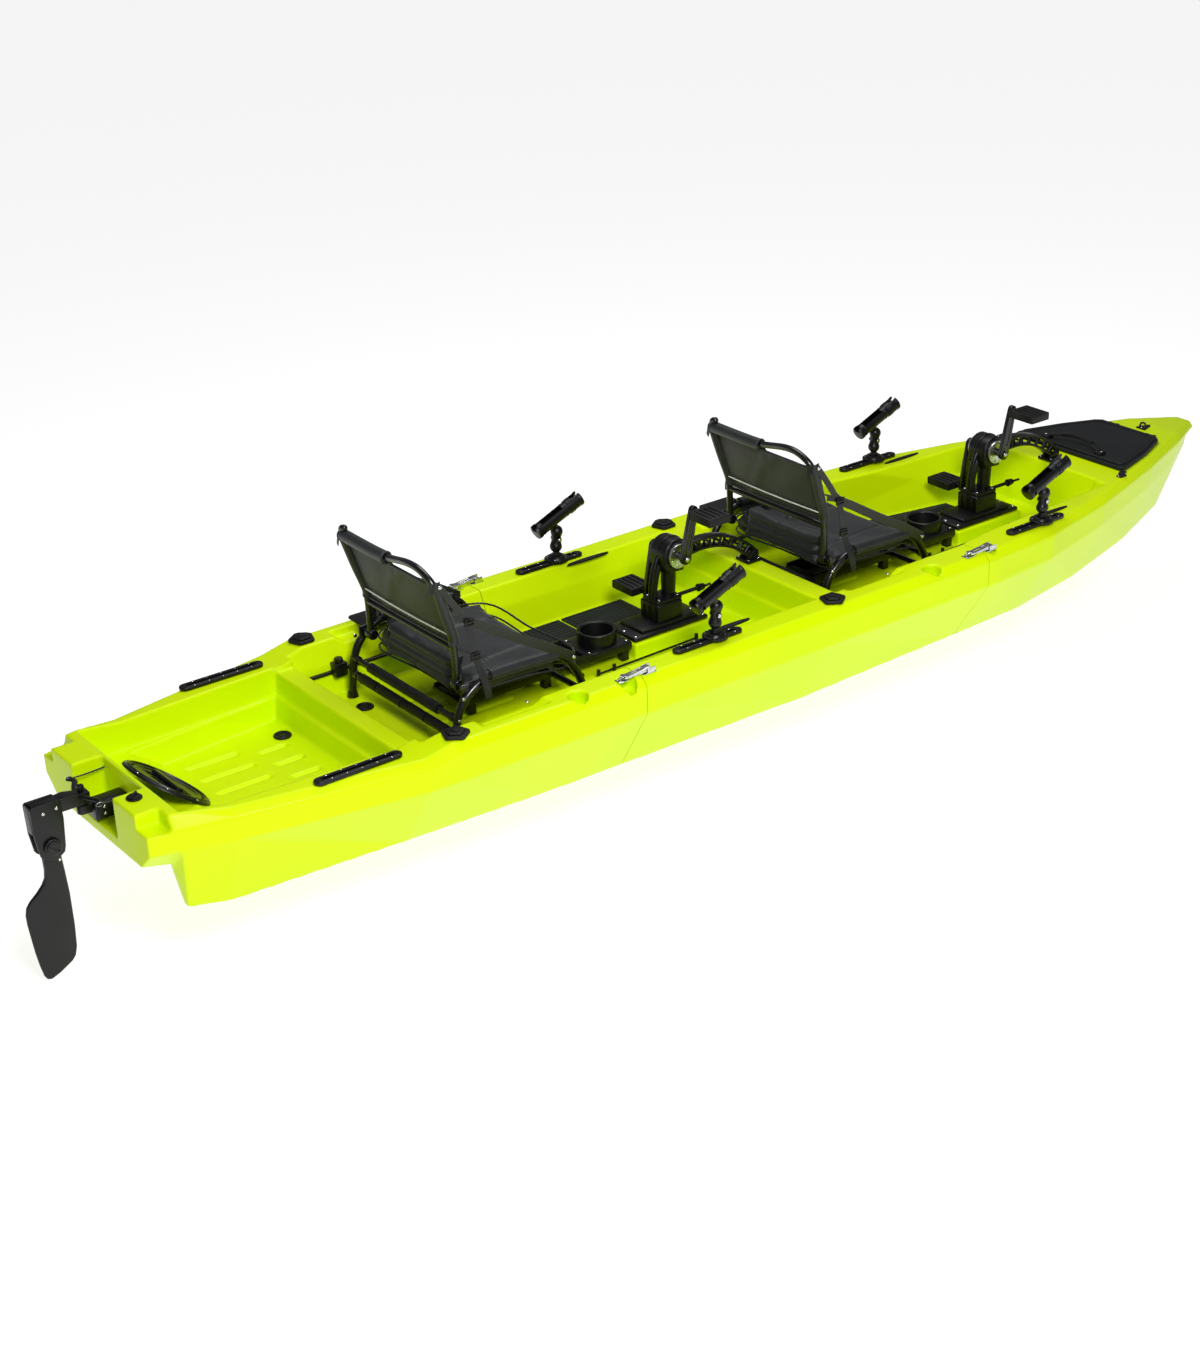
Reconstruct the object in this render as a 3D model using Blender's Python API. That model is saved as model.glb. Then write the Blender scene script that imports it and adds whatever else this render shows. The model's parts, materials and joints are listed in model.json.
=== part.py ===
# Modular sit-on-top tandem kayak: three moulded hull sections that latch together,
# two folding seats, two lift-out pedal drives, four rod holders and a kick-up rudder.
# Frame: bow along +X, port along +Y, up +Z, origin at mid-length on the flat keel. Metres.

import math

import bmesh
import bpy
from mathutils import Matrix, Vector

# ---------------------------------------------------------------- driving dimensions
MODULE_PITCH = 1.246            # every fitting of the rear seat unit repeats this far forward
SEAM_AFT = -0.636               # joint between the stern and middle hull sections
SEAM_GAP = 0.0012
FIT_GAP = 0.0003                # clearance between touching pieces

DECK_Z = 0.300                  # top of the gunwales
FLOOR_Z = 0.155                 # cockpit floor
COCKPIT_HALF = 0.320            # inner edge of the gunwales
COCKPIT_FLOOR_HALF = 0.290
REAR_BULKHEAD = (-1.310, -1.260)
MIDDLE_BULKHEAD = (0.030, 0.105)
FRONT_COCKPIT_END = 1.290

CONSOLE_TOP_Z = 0.200           # raised step round the drive slot
SLOT = (-0.370, -0.160, 0.045)  # aft end, front end and half width of the drive slot

SEAT_HALF = 0.250               # half spacing of the seat hoops
SEAT_TUBE_R = 0.011
BACK_PIVOT = (-1.070, 0.340)    # x and z of the back's fold axis
BACK_HALF = 0.206

CRANK_AXLE = (-0.215, 0.405)    # x and z of the crank axle
CRANK_RADIUS = 0.140
CRANK_LEAN = math.radians(13)   # the upper crank leans this far forward at rest
PEDAL_Y = 0.140
PROP_CENTRE = (-0.320, -0.100)  # x and z of the propeller hub
PROP_RADIUS = 0.088

MAT_OUTER_EDGE = {"rear": (0.284, 0.284), "front": (0.278, 0.202)}  # aft and front ends

ROD_BASE = (-0.350, 0.360)      # x and y of a rod holder's post
ROD_LOWER_BALL_Z = 0.350
ROD_UPPER_BALL = (-0.345, 0.395)
ROD_TUBE_LEAN = math.radians(23)

RUDDER_PIN_X = -2.020
RUDDER_PIVOT = (-2.118, 0.176)  # x and z of the blade's kick-up axis
WELL_AFT = (-1.900, -1.700)     # the tank well's aft wall slopes between these, rim to floor
WELL_FLOOR_Z = 0.150
HATCH_SLOPE = math.atan2(DECK_Z - WELL_FLOOR_Z, WELL_AFT[1] - WELL_AFT[0])
HATCH_CENTRE = (sum(WELL_AFT) / 2, 0.0, (DECK_Z + WELL_FLOOR_Z) / 2)
LID_HINGE = (1.700, 0.306)      # x and z of the bow lid's hinge
LATCH_Y = 0.398

# Hull sections along x: (x, deck half width, deck edge z, deck top z, knuckle half width,
# knuckle z, keel half width, keel z, tunnel half width, tunnel z)
HULL_STATIONS = [
    (-1.990, 0.285, 0.262, 0.300, 0.285, 0.212, 0.228, 0.160, 0.195, 0.160),
    (-1.915, 0.302, 0.262, 0.300, 0.305, 0.212, 0.240, 0.148, 0.205, 0.148),
    (-1.890, 0.308, 0.262, 0.298, 0.310, 0.210, 0.242, 0.020, 0.205, 0.140),
    (-1.780, 0.330, 0.262, 0.282, 0.334, 0.205, 0.250, 0.000, 0.212, 0.120),
    (-1.300, 0.425, 0.262, 0.282, 0.424, 0.200, 0.280, 0.000, 0.240, 0.030),
    (-1.215, 0.428, 0.278, 0.300, 0.427, 0.200, 0.284, 0.000, 0.245, 0.015),
    (-0.900, 0.430, 0.278, 0.300, 0.430, 0.200, 0.300, 0.000, 0.255, 0.000),
    (0.000, 0.430, 0.278, 0.300, 0.430, 0.200, 0.316, 0.000, 0.265, 0.000),
    (0.650, 0.430, 0.278, 0.300, 0.428, 0.200, 0.290, 0.000, 0.245, 0.000),
    (0.900, 0.412, 0.278, 0.300, 0.405, 0.200, 0.278, 0.000, 0.230, 0.000),
    (1.200, 0.340, 0.278, 0.300, 0.326, 0.200, 0.222, 0.000, 0.180, 0.000),
    (1.550, 0.222, 0.278, 0.300, 0.205, 0.200, 0.118, 0.000, 0.085, 0.000),
    (1.800, 0.120, 0.276, 0.298, 0.098, 0.203, 0.036, 0.028, 0.020, 0.028),
    (1.955, 0.042, 0.270, 0.286, 0.016, 0.232, 0.010, 0.200, 0.006, 0.200),
]

SIDES = (("port", 1), ("stbd", -1))
UNITS = (("rear", 0.0), ("front", MODULE_PITCH))

# ---------------------------------------------------------------- scene and materials
for old in list(bpy.data.objects):
    bpy.data.objects.remove(old, do_unlink=True)

PARTS = bpy.data.collections.new("tandem_kayak")
bpy.context.scene.collection.children.link(PARTS)


def material(name, colour, roughness, metallic=0.0):
    mat = bpy.data.materials.new(name)
    mat.use_nodes = True
    shader = mat.node_tree.nodes["Principled BSDF"]
    shader.inputs["Base Color"].default_value = (*colour, 1.0)
    shader.inputs["Roughness"].default_value = roughness
    shader.inputs["Metallic"].default_value = metallic
    return mat


LIME = material("lime_polyethylene", (0.62, 0.90, 0.00), 0.32)
BLACK = material("black_nylon", (0.012, 0.012, 0.013), 0.38)
GRAPHITE = material("graphite_foam", (0.045, 0.048, 0.050), 0.80)
FABRIC = material("charcoal_fabric", (0.020, 0.021, 0.023), 0.90)
TUBE = material("black_coated_tube", (0.010, 0.010, 0.011), 0.25)
STEEL = material("stainless_steel", (0.60, 0.60, 0.58), 0.25, 1.0)
RUBBER = material("black_rubber", (0.015, 0.015, 0.016), 0.70)


# ---------------------------------------------------------------- modelling helpers
def add_object(name, mesh, mat=None):
    obj = bpy.data.objects.new(name, mesh)
    PARTS.objects.link(obj)
    if mat:
        mesh.materials.clear()
        mesh.materials.append(mat)
    return obj


def from_bmesh(name, bm, mat=None):
    mesh = bpy.data.meshes.new(name)
    bm.to_mesh(mesh)
    bm.free()
    return add_object(name, mesh, mat)


def block(name, low, high, mat=None, bevel=0.0, top_shrink=(0.0, 0.0)):
    """A box between two corners, its top face drawn in by top_shrink, edges bevelled."""
    low, high = Vector(low), Vector(high)
    bm = bmesh.new()
    bmesh.ops.create_cube(bm, size=1.0)
    middle, size = (low + high) / 2, high - low
    for vert in bm.verts:
        shrink = [1.0, 1.0]
        if vert.co.z > 0:
            shrink = [1 - 2 * top_shrink[i] / size[i] for i in range(2)]
        vert.co = Vector((middle.x + vert.co.x * size.x * shrink[0],
                          middle.y + vert.co.y * size.y * shrink[1],
                          middle.z + vert.co.z * size.z))
    if bevel:
        bmesh.ops.bevel(bm, geom=list(bm.edges), offset=bevel, segments=1, affect="EDGES")
    return from_bmesh(name, bm, mat)


def rod(name, start, end, radius, mat=None, end_radius=None, sides=16):
    """A round bar or cone frustum between two points."""
    start, end = Vector(start), Vector(end)
    along = end - start
    bm = bmesh.new()
    bmesh.ops.create_cone(bm, cap_ends=True, segments=sides, radius1=radius,
                          radius2=radius if end_radius is None else end_radius,
                          depth=along.length)
    turn = Vector((0, 0, 1)).rotation_difference(along).to_matrix().to_4x4()
    bmesh.ops.transform(bm, matrix=Matrix.Translation((start + end) / 2) @ turn, verts=bm.verts)
    return from_bmesh(name, bm, mat)


def ball(name, centre, radius, mat=None, segments=12):
    bm = bmesh.new()
    bmesh.ops.create_uvsphere(bm, u_segments=segments, v_segments=segments // 2, radius=radius)
    bmesh.ops.translate(bm, vec=centre, verts=bm.verts)
    return from_bmesh(name, bm, mat)


def mesh_from_curve(name, curve_object, mat=None):
    """Turns a curve object into a closed mesh object and removes the curve."""
    evaluated = curve_object.evaluated_get(bpy.context.evaluated_depsgraph_get())
    mesh = bpy.data.meshes.new_from_object(evaluated)
    bm = bmesh.new()
    bm.from_mesh(mesh)
    bmesh.ops.remove_doubles(bm, verts=bm.verts, dist=0.00002)
    bmesh.ops.recalc_face_normals(bm, faces=bm.faces)
    bm.to_mesh(mesh)
    bm.free()
    matrix = curve_object.matrix_world.copy()
    bpy.data.objects.remove(curve_object, do_unlink=True)
    obj = add_object(name, mesh, mat)
    obj.matrix_world = matrix
    return obj


def rounded(points, radius, steps=3):
    """Replaces each inner corner of a polyline by an arc-like run of points."""
    points = [Vector(p) for p in points]
    path = [points[0]]
    for before, corner, after in zip(points, points[1:], points[2:]):
        reach = min(radius, (before - corner).length * 0.45, (after - corner).length * 0.45)
        a = corner + (before - corner).normalized() * reach
        b = corner + (after - corner).normalized() * reach
        for i in range(steps + 1):
            t = i / steps
            path.append(a.lerp(corner, t).lerp(corner.lerp(b, t), t))
    path.append(points[-1])
    return path


def tube(name, points, radius, mat=None):
    curve = bpy.data.curves.new(name, "CURVE")
    curve.dimensions = "3D"
    curve.bevel_depth = radius
    curve.bevel_resolution = 2
    curve.use_fill_caps = True
    spline = curve.splines.new("POLY")
    spline.points.add(len(points) - 1)
    for point, co in zip(spline.points, points):
        point.co = (*co, 1.0)
    obj = bpy.data.objects.new(name, curve)
    PARTS.objects.link(obj)
    bpy.context.view_layer.update()
    return mesh_from_curve(name, obj, mat)


def plate(name, outlines, thickness, place, mat=None):
    """A flat outline, with any holes, extruded to a thickness about the plane of place."""
    curve = bpy.data.curves.new(name, "CURVE")
    curve.dimensions = "2D"
    curve.fill_mode = "BOTH"
    curve.extrude = thickness / 2
    for outline in outlines:
        spline = curve.splines.new("POLY")
        spline.points.add(len(outline) - 1)
        for point, (u, v) in zip(spline.points, outline):
            point.co = (u, v, 0.0, 1.0)
        spline.use_cyclic_u = True
    obj = bpy.data.objects.new(name, curve)
    PARTS.objects.link(obj)
    obj.matrix_world = place
    bpy.context.view_layer.update()
    return mesh_from_curve(name, obj, mat)


def side_plane(y):
    """Places a 2D outline drawn in (x, z) at the given y."""
    return Matrix(((1, 0, 0, 0), (0, 0, -1, y), (0, 1, 0, 0), (0, 0, 0, 1)))


def boolean(target, tool, operation):
    modifier = target.modifiers.new(operation.lower(), "BOOLEAN")
    modifier.operation = operation
    modifier.solver = "EXACT"
    modifier.object = tool
    bpy.context.view_layer.update()
    evaluated = target.evaluated_get(bpy.context.evaluated_depsgraph_get())
    result = bpy.data.meshes.new_from_object(evaluated)
    target.modifiers.clear()
    mats = list(target.data.materials)
    target.data = result
    result.materials.clear()
    for mat in mats:
        result.materials.append(mat)
    bpy.data.objects.remove(tool, do_unlink=True)


def cut(target, *tools):
    for tool in tools:
        boolean(target, tool, "DIFFERENCE")


def join(target, *tools):
    for tool in tools:
        boolean(target, tool, "UNION")


def finish(obj, parent, pivot=None):
    """Hangs a piece on its parent, with its origin on the pivot where it moves."""
    matrix = obj.matrix_world.copy()
    obj.data.transform(matrix)
    obj.matrix_world = Matrix.Identity(4)
    if pivot is not None:
        obj.data.transform(Matrix.Translation(-Vector(pivot)))
        obj.location = pivot
    obj.parent = parent
    for polygon in obj.data.polygons:
        polygon.use_smooth = True
    obj.data.set_sharp_from_angle(angle=math.radians(35))
    return obj


def empty(name, location, parent=None):
    obj = bpy.data.objects.new(name, None)
    obj.location = location
    obj.parent = parent
    PARTS.objects.link(obj)
    return obj


def ring_points(radius, count, centre=(0.0, 0.0), start=0.0):
    return [(centre[0] + radius * math.cos(start + 2 * math.pi * i / count),
             centre[1] + radius * math.sin(start + 2 * math.pi * i / count))
            for i in range(count)]


# ---------------------------------------------------------------- hull
def station_at(x):
    for low, high in zip(HULL_STATIONS, HULL_STATIONS[1:]):
        if low[0] <= x <= high[0]:
            t = (x - low[0]) / (high[0] - low[0])
            return tuple(a + (b - a) * t for a, b in zip(low, high))
    raise ValueError("no hull station at this x")


def hull_ring(station):
    """The closed section, from the bottom centre up the port side and down the other."""
    x, deck, edge_z, top_z, knuckle, knuckle_z, keel, keel_z, tunnel, tunnel_z = station
    crown = min(0.022, deck * 0.4)
    half = [(tunnel, tunnel_z), (tunnel + (keel - tunnel) * 0.35, keel_z), (keel, keel_z),
            (knuckle, knuckle_z), (deck, edge_z), (deck - crown, top_z)]
    port = [(x, y, z) for y, z in half]
    starboard = [(x, -y, z) for y, z in reversed(half)]
    return [(x, 0.0, tunnel_z)] + port + [(x, 0.0, top_z)] + starboard


def hull_block(name, x_low, x_high):
    inner = [s for s in HULL_STATIONS if x_low < s[0] < x_high]
    stations = [station_at(x_low)] + inner + [station_at(x_high)]
    bm = bmesh.new()
    rings = [[bm.verts.new(co) for co in hull_ring(s)] for s in stations]
    for a, b in zip(rings, rings[1:]):
        for i in range(len(a)):
            j = (i + 1) % len(a)
            bm.faces.new((a[i], b[i], b[j], a[j]))
    bm.faces.new(rings[0])
    bm.faces.new(list(reversed(rings[-1])))
    bmesh.ops.recalc_face_normals(bm, faces=bm.faces)
    return from_bmesh(name, bm, LIME)


def tub(x_top, x_floor, y_top, y_floor, floor_z):
    """A cutter for an open tub: (aft, front) pairs in x and (aft, front) half widths in y."""
    rim_z = DECK_Z + 0.05
    stretch = (rim_z - floor_z) / (DECK_Z - floor_z)
    bm = bmesh.new()
    bmesh.ops.create_cube(bm, size=2.0)
    for vert in bm.verts:
        end = 1 if vert.co.x > 0 else 0
        side = 1 if vert.co.y > 0 else -1
        x, y, z = x_floor[end], side * y_floor[end], floor_z
        if vert.co.z > 0:
            x += (x_top[end] - x_floor[end]) * stretch
            y += side * (y_top[end] - y_floor[end]) * stretch
            z = rim_z
        vert.co = (x, y, z)
    return from_bmesh("tub_cutter", bm)


def drive_console(shift):
    aft, front, half = SLOT
    return block("console", (aft - 0.030 + shift, -half - 0.030, FLOOR_Z - 0.010),
                 (front + 0.030 + shift, half + 0.030, CONSOLE_TOP_Z))


def drive_slot(shift):
    aft, front, half = SLOT
    return block("slot", (aft + shift, -half, -0.050), (front + shift, half, DECK_Z))


def scupper(x, y):
    return rod("scupper", (x, y, -0.05), (x, y, DECK_Z), 0.014, sides=10)


def deck_pocket(x, sign):
    return rod("pocket", (x, sign * 0.392, DECK_Z - 0.045), (x, sign * 0.392, DECK_Z + 0.05),
               0.027, sides=14)


def build_hull(root):
    half_gap = SEAM_GAP / 2
    seam_front = SEAM_AFT + MODULE_PITCH
    stern = hull_block("stern_hull", HULL_STATIONS[0][0], SEAM_AFT - half_gap)
    middle = hull_block("middle_hull", SEAM_AFT + half_gap, seam_front - half_gap)
    bow = hull_block("bow_hull", seam_front + half_gap, HULL_STATIONS[-1][0])

    floor = (COCKPIT_FLOOR_HALF, COCKPIT_FLOOR_HALF)
    rim = (COCKPIT_HALF, COCKPIT_HALF)
    cockpit_aft = REAR_BULKHEAD[1]
    cockpit_front = MIDDLE_BULKHEAD[0]

    # stern section: tank well, rear seat well, rudder notch, scuppers, pocket
    cut(stern,
        tub((WELL_AFT[0], REAR_BULKHEAD[0]), (WELL_AFT[1], REAR_BULKHEAD[0] - 0.035),
            (0.262, 0.308), (0.235, 0.275), WELL_FLOOR_Z),
        tub((cockpit_aft, SEAM_AFT + 0.1), (cockpit_aft + 0.02, SEAM_AFT + 0.1),
            rim, floor, FLOOR_Z),
        block("notch", (-2.050, -0.110, 0.190), (-1.910, 0.110, 0.400)))
    for _, sign in SIDES:
        cut(stern, scupper(-1.380, sign * 0.176), scupper(-1.130, sign * 0.170),
            deck_pocket(-0.829, sign),
            block("corner", (-2.050, min(sign * 0.230, sign * 0.400), 0.262),
                  (-1.930, max(sign * 0.230, sign * 0.400), 0.400)))

    # middle section: rear footwell, front seat well, one drive slot, scuppers, pockets
    cut(middle,
        tub((SEAM_AFT - 0.1, cockpit_front), (SEAM_AFT - 0.1, cockpit_front - 0.02),
            rim, floor, FLOOR_Z),
        tub((MIDDLE_BULKHEAD[1], seam_front + 0.1), (MIDDLE_BULKHEAD[1] + 0.01, seam_front + 0.1),
            rim, floor, FLOOR_Z))
    join(middle, drive_console(0.0))
    cut(middle, drive_slot(0.0))
    for _, sign in SIDES:
        cut(middle, scupper(-1.130 + MODULE_PITCH + 0.05, sign * 0.170),
            deck_pocket(-0.829 + MODULE_PITCH, sign))

    # bow section: front footwell, drive slot, hatch well under the lid
    cut(bow,
        tub((seam_front - 0.1, FRONT_COCKPIT_END), (seam_front - 0.1, FRONT_COCKPIT_END - 0.04),
            (0.336, 0.222), (0.312, 0.180), FLOOR_Z),
        tub((1.430, 1.640), (1.435, 1.630), (0.160, 0.100), (0.130, 0.070), 0.120))
    join(bow, drive_console(MODULE_PITCH))
    cut(bow, drive_slot(MODULE_PITCH))

    for section in (stern, middle, bow):
        finish(section, root)


# ---------------------------------------------------------------- stern and deck fittings
def slope_point(along, out):
    """A point on the hatch slope: along the fall of the slope, then out of its face."""
    fall = Vector((math.cos(HATCH_SLOPE), 0, -math.sin(HATCH_SLOPE)))
    normal = Vector((math.sin(HATCH_SLOPE), 0, math.cos(HATCH_SLOPE)))
    return Vector(HATCH_CENTRE) + fall * along + normal * out


def build_tank_hatch(root):
    ring = rod("tank_hatch_ring", slope_point(0, 0.0006), slope_point(0, 0.012), 0.120, BLACK,
               0.112, 32)
    cut(ring, rod("bore", slope_point(0, -0.02), slope_point(0, 0.03), 0.098, sides=32))
    finish(ring, root)
    cover = rod("tank_hatch_cover", slope_point(0, 0.0006), slope_point(0, 0.010), 0.096, BLACK,
                0.092, 32)
    low = slope_point(0, 0)
    grip = block("grip", (-0.070, -0.012, 0.006), (0.070, 0.012, 0.016), None, 0.004)
    grip.matrix_world = Matrix.Translation(low) @ Matrix.Rotation(HATCH_SLOPE, 4, "Y") \
        @ Matrix.Rotation(math.radians(90), 4, "Z")
    join(cover, grip)
    finish(cover, root, low)


def build_drain_plug(root):
    plug = rod("drain_plug", (-1.950, -0.150, DECK_Z + FIT_GAP),
               (-1.950, -0.150, DECK_Z + 0.008), 0.020, BLACK, 0.017, 16)
    join(plug, block("bar", (-1.964, -0.154, DECK_Z + 0.004), (-1.936, -0.146, DECK_Z + 0.015)))
    finish(plug, root)


def gear_track(name, x_low, x_high, y, base_z, half_width=0.017, height=0.010):
    """A slotted mounting rail: a long rounded bar with a T slot along its top."""
    length = x_high - x_low
    outline = []
    for end, start_angle in ((length / 2 - half_width, -90), (-length / 2 + half_width, 90)):
        for i in range(5):
            angle = math.radians(start_angle + 45 * i)
            outline.append((end + half_width * math.cos(angle), half_width * math.sin(angle)))
    place = Matrix.Translation(((x_low + x_high) / 2, y, base_z + height / 2))
    rail = plate(name, [outline], height, place, BLACK)
    cut(rail, block("slot", (x_low + 0.022, y - 0.005, base_z + height * 0.4),
                    (x_high - 0.022, y + 0.005, base_z + height + 0.01)))
    return rail


def build_deck_hardware(root):
    for side, sign in SIDES:
        finish(gear_track("stern_track_" + side, -1.576, -1.330, sign * 0.345,
                          0.282 + FIT_GAP), root)
        for unit, shift in UNITS:
            knob = rod("deck_cap_%s_%s" % (unit, side),
                       (-1.190 + shift, sign * 0.375, DECK_Z + FIT_GAP),
                       (-1.190 + shift, sign * 0.375, DECK_Z + 0.018), 0.040, RUBBER, 0.022, 6)
            finish(knob, root)
            build_latch_lever("latch_lever_%s_%s" % ("aft" if unit == "rear" else "fwd", side),
                              SEAM_AFT + shift, sign, root)


def build_latch_lever(name, seam_x, sign, root):
    """Over-centre lever that pulls two hull sections together; it hinges ahead of the seam."""
    y = sign * LATCH_Y
    z = DECK_Z + 0.004
    profile = [(-0.055, z + 0.004), (-0.050, z), (0.028, z), (0.036, z + 0.004),
               (0.036, z + 0.010), (0.028, z + 0.014), (-0.040, z + 0.007), (-0.055, z + 0.009)]
    lever = plate(name, [[(seam_x + u, v) for u, v in profile]], 0.022, side_plane(y), STEEL)
    finish(lever, root, (seam_x + 0.030, y, z + 0.007))


def build_rudder(root):
    bracket = block("rudder_bracket", (-2.000, -0.022, 0.200), (-1.910 - FIT_GAP, 0.022, 0.2495),
                    BLACK, 0.003)
    join(bracket,
         block("lug", (-2.036, -0.014, 0.225), (-1.995, 0.014, 0.249), None, 0.003),
         rod("pin", (RUDDER_PIN_X, 0, 0.240), (RUDDER_PIN_X, 0, 0.300), 0.006))
    finish(bracket, root)

    pivot_x, pivot_z = RUDDER_PIVOT
    head = block("rudder_head", (-2.082, -0.0215, 0.252), (-2.004, 0.0215, 0.286), BLACK, 0.003)
    arms = [(-2.030, 0.020), (-2.016, 0.090), (-2.004, 0.090), (-2.004, 0.0),
            (-2.004, -0.090), (-2.016, -0.090), (-2.030, -0.020)]
    join(head, plate("yoke", [arms], 0.010, Matrix.Translation((0, 0, 0.276))))
    cheek = [(-2.161, 0.292), (-2.080, 0.292), (-2.078, 0.240), (-2.086, 0.150),
             (-2.118, 0.138), (-2.146, 0.150), (-2.160, 0.210)]
    for _, sign in SIDES:
        join(head, plate("cheek", [cheek], 0.007, side_plane(sign * 0.018)))
    join(head, block("web", (-2.161, -0.020, 0.215), (-2.076, 0.020, 0.290)))
    cut(head, rod("bore", (RUDDER_PIN_X, 0, 0.230), (RUDDER_PIN_X, 0, 0.320), 0.0068))
    finish(head, root, (RUDDER_PIN_X, 0, 0.276))

    top = [(pivot_x + 0.024 * math.cos(math.radians(a)), pivot_z + 0.024 * math.sin(math.radians(a)))
           for a in (15, 52, 90, 128, 165)]
    profile = top + [(-2.140, 0.087), (-2.165, 0.058), (-2.200, 0.028), (-2.204, 0.000),
                     (-2.190, -0.135), (-2.178, -0.180), (-2.166, -0.186), (-2.100, -0.150),
                     (-2.088, -0.110), (-2.086, 0.030), (-2.092, 0.100)]
    blade = plate("rudder_blade", [profile], 0.020, side_plane(0.0), BLACK)
    finish(blade, root, (pivot_x, 0, pivot_z))

    knob = rod("rudder_knob", (pivot_x, -0.0215 - FIT_GAP, pivot_z), (pivot_x, -0.034, pivot_z),
               0.023, BLACK, 0.020, 20)
    cut(knob, block("slot", (pivot_x - 0.03, -0.040, pivot_z - 0.0025),
                    (pivot_x + 0.03, -0.030, pivot_z + 0.0025)))
    finish(knob, root, (pivot_x, -0.022, pivot_z))


def build_bow_lid(root):
    outline = [(1.392, 0.214), (1.402, 0.226), (1.420, 0.228), (1.560, 0.184), (1.672, 0.134),
               (1.690, 0.115), (1.690, -0.115), (1.672, -0.134), (1.560, -0.184),
               (1.420, -0.228), (1.402, -0.226), (1.392, -0.214)]
    base_z = DECK_Z + FIT_GAP
    lid = plate("bow_hatch_lid", [outline], 0.014,
                Matrix.Translation((0, 0, base_z + 0.007)), GRAPHITE)
    crown = [(1.402 + (x - 1.392) * 0.93, y * 0.94) for x, y in outline]
    join(lid, plate("crown", [crown], 0.010, Matrix.Translation((0, 0, base_z + 0.0175))))
    hinge_x, hinge_z = LID_HINGE
    for _, sign in SIDES:
        join(lid, rod("knuckle", (hinge_x, sign * 0.060, hinge_z),
                      (hinge_x, sign * 0.095, hinge_z), 0.0055, sides=10),
             block("leaf", (1.680, min(sign * 0.062, sign * 0.093), 0.3035),
                   (hinge_x, max(sign * 0.062, sign * 0.093), 0.3085)))
    finish(lid, root, (hinge_x, 0, hinge_z))

    top_z = base_z + 0.0225
    path = [(1.424, -0.110, top_z + 0.0095), (1.430, -0.090, top_z + 0.013),
            (1.446, -0.045, top_z + 0.020), (1.450, 0.0, top_z + 0.022),
            (1.446, 0.045, top_z + 0.020), (1.430, 0.090, top_z + 0.013),
            (1.424, 0.110, top_z + 0.0095)]
    handle = tube("bow_lid_handle", path, 0.0075, RUBBER)
    for _, sign in SIDES:
        join(handle, block("foot", (1.408, min(sign * 0.095, sign * 0.125), top_z + FIT_GAP),
                           (1.438, max(sign * 0.095, sign * 0.125), top_z + 0.010)))
    finish(handle, root)


# ---------------------------------------------------------------- seats
def build_seat(unit, mover):
    frame = None
    tops = [(-1.120, FLOOR_Z + 0.002), (-1.100, 0.300), (-1.020, 0.360), (-0.770, 0.353),
            (-0.712, 0.260), (-0.700, FLOOR_Z + 0.002)]
    for _, sign in SIDES:
        hoop = tube(unit + "_seat_frame", rounded([(x, sign * SEAT_HALF, z) for x, z in tops], 0.04),
                    SEAT_TUBE_R, TUBE)
        if frame is None:
            frame = hoop
        else:
            for x, z in ((-1.1110, 0.223), (-1.1045, 0.266), (-0.7126, 0.266), (-0.7085, 0.223)):
                join(frame, rod("bar", (x, -SEAT_HALF, z), (x, SEAT_HALF, z), 0.009, sides=8))
            join(frame, hoop)
    finish(frame, mover)

    cushion = block(unit + "_seat_cushion", (-1.045, -0.232, 0.292), (-0.705, 0.232, 0.334),
                    FABRIC, 0.010)
    finish(cushion, mover)

    pivot_x, pivot_z = BACK_PIVOT
    half = BACK_HALF
    legs = [(pivot_x, half, pivot_z), (-1.072, half, 0.465), (-1.130, 0.218, 0.662),
            (-1.130, -0.218, 0.662), (-1.072, -half, 0.465), (pivot_x, -half, pivot_z)]
    back = tube(unit + "_back_frame", rounded(legs, 0.045), 0.0100, TUBE)
    join(back, rod("cross", (-1.0716, -half, 0.437), (-1.0716, half, 0.437), 0.008, sides=8))
    finish(back, mover, (pivot_x, 0, pivot_z))

    panel = block(unit + "_back_panel", (-0.010, -0.188, 0.0), (0.010, 0.188, 0.192), FABRIC,
                  0.006)
    lean = math.atan2(-1.130 + 1.072, 0.662 - 0.465)
    panel.matrix_world = Matrix.Translation((-1.0715, 0, 0.456)) @ Matrix.Rotation(lean, 4, "Y")
    finish(panel, mover, (pivot_x, 0, pivot_z))


# ---------------------------------------------------------------- floor fittings
def build_floor(unit, mover):
    tray = block(unit + "_tray", (-0.980, -0.068, 0.186), (SLOT[0] - 0.034, 0.068, 0.212),
                 BLACK, 0.003)
    join(tray, rod("cup", (-0.478, 0, 0.188), (-0.478, 0, 0.248), 0.056, sides=24))
    cut(tray, rod("cup_bore", (-0.478, 0, 0.194), (-0.478, 0, 0.300), 0.044, sides=24),
        block("channel", (-0.960, -0.058, 0.196), (-0.550, 0.058, 0.230)))
    for x in (-0.900, -0.430):
        join(tray, block("foot", (x - 0.010, -0.060, FLOOR_Z + FIT_GAP), (x + 0.010, 0.060, 0.190)))
    finish(tray, mover)

    aft, front, inner, thickness = -0.610, -0.180, 0.086, 0.008
    outer_aft, outer_front = MAT_OUTER_EDGE[unit]
    outline = [(aft, inner), (front, inner), (front, outer_front), (aft, outer_aft)]
    mat = plate(unit + "_floor_mat", [outline], thickness,
                Matrix.Translation((0, 0, FLOOR_Z + FIT_GAP + thickness / 2)), GRAPHITE)
    finish(mat, mover)


# ---------------------------------------------------------------- pedal drive
def arc_points(centre, radius, start, end, count):
    return [(centre[0] + radius * math.cos(math.radians(start + (end - start) * i / (count - 1))),
             centre[1] + radius * math.sin(math.radians(start + (end - start) * i / (count - 1))))
            for i in range(count)]


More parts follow.
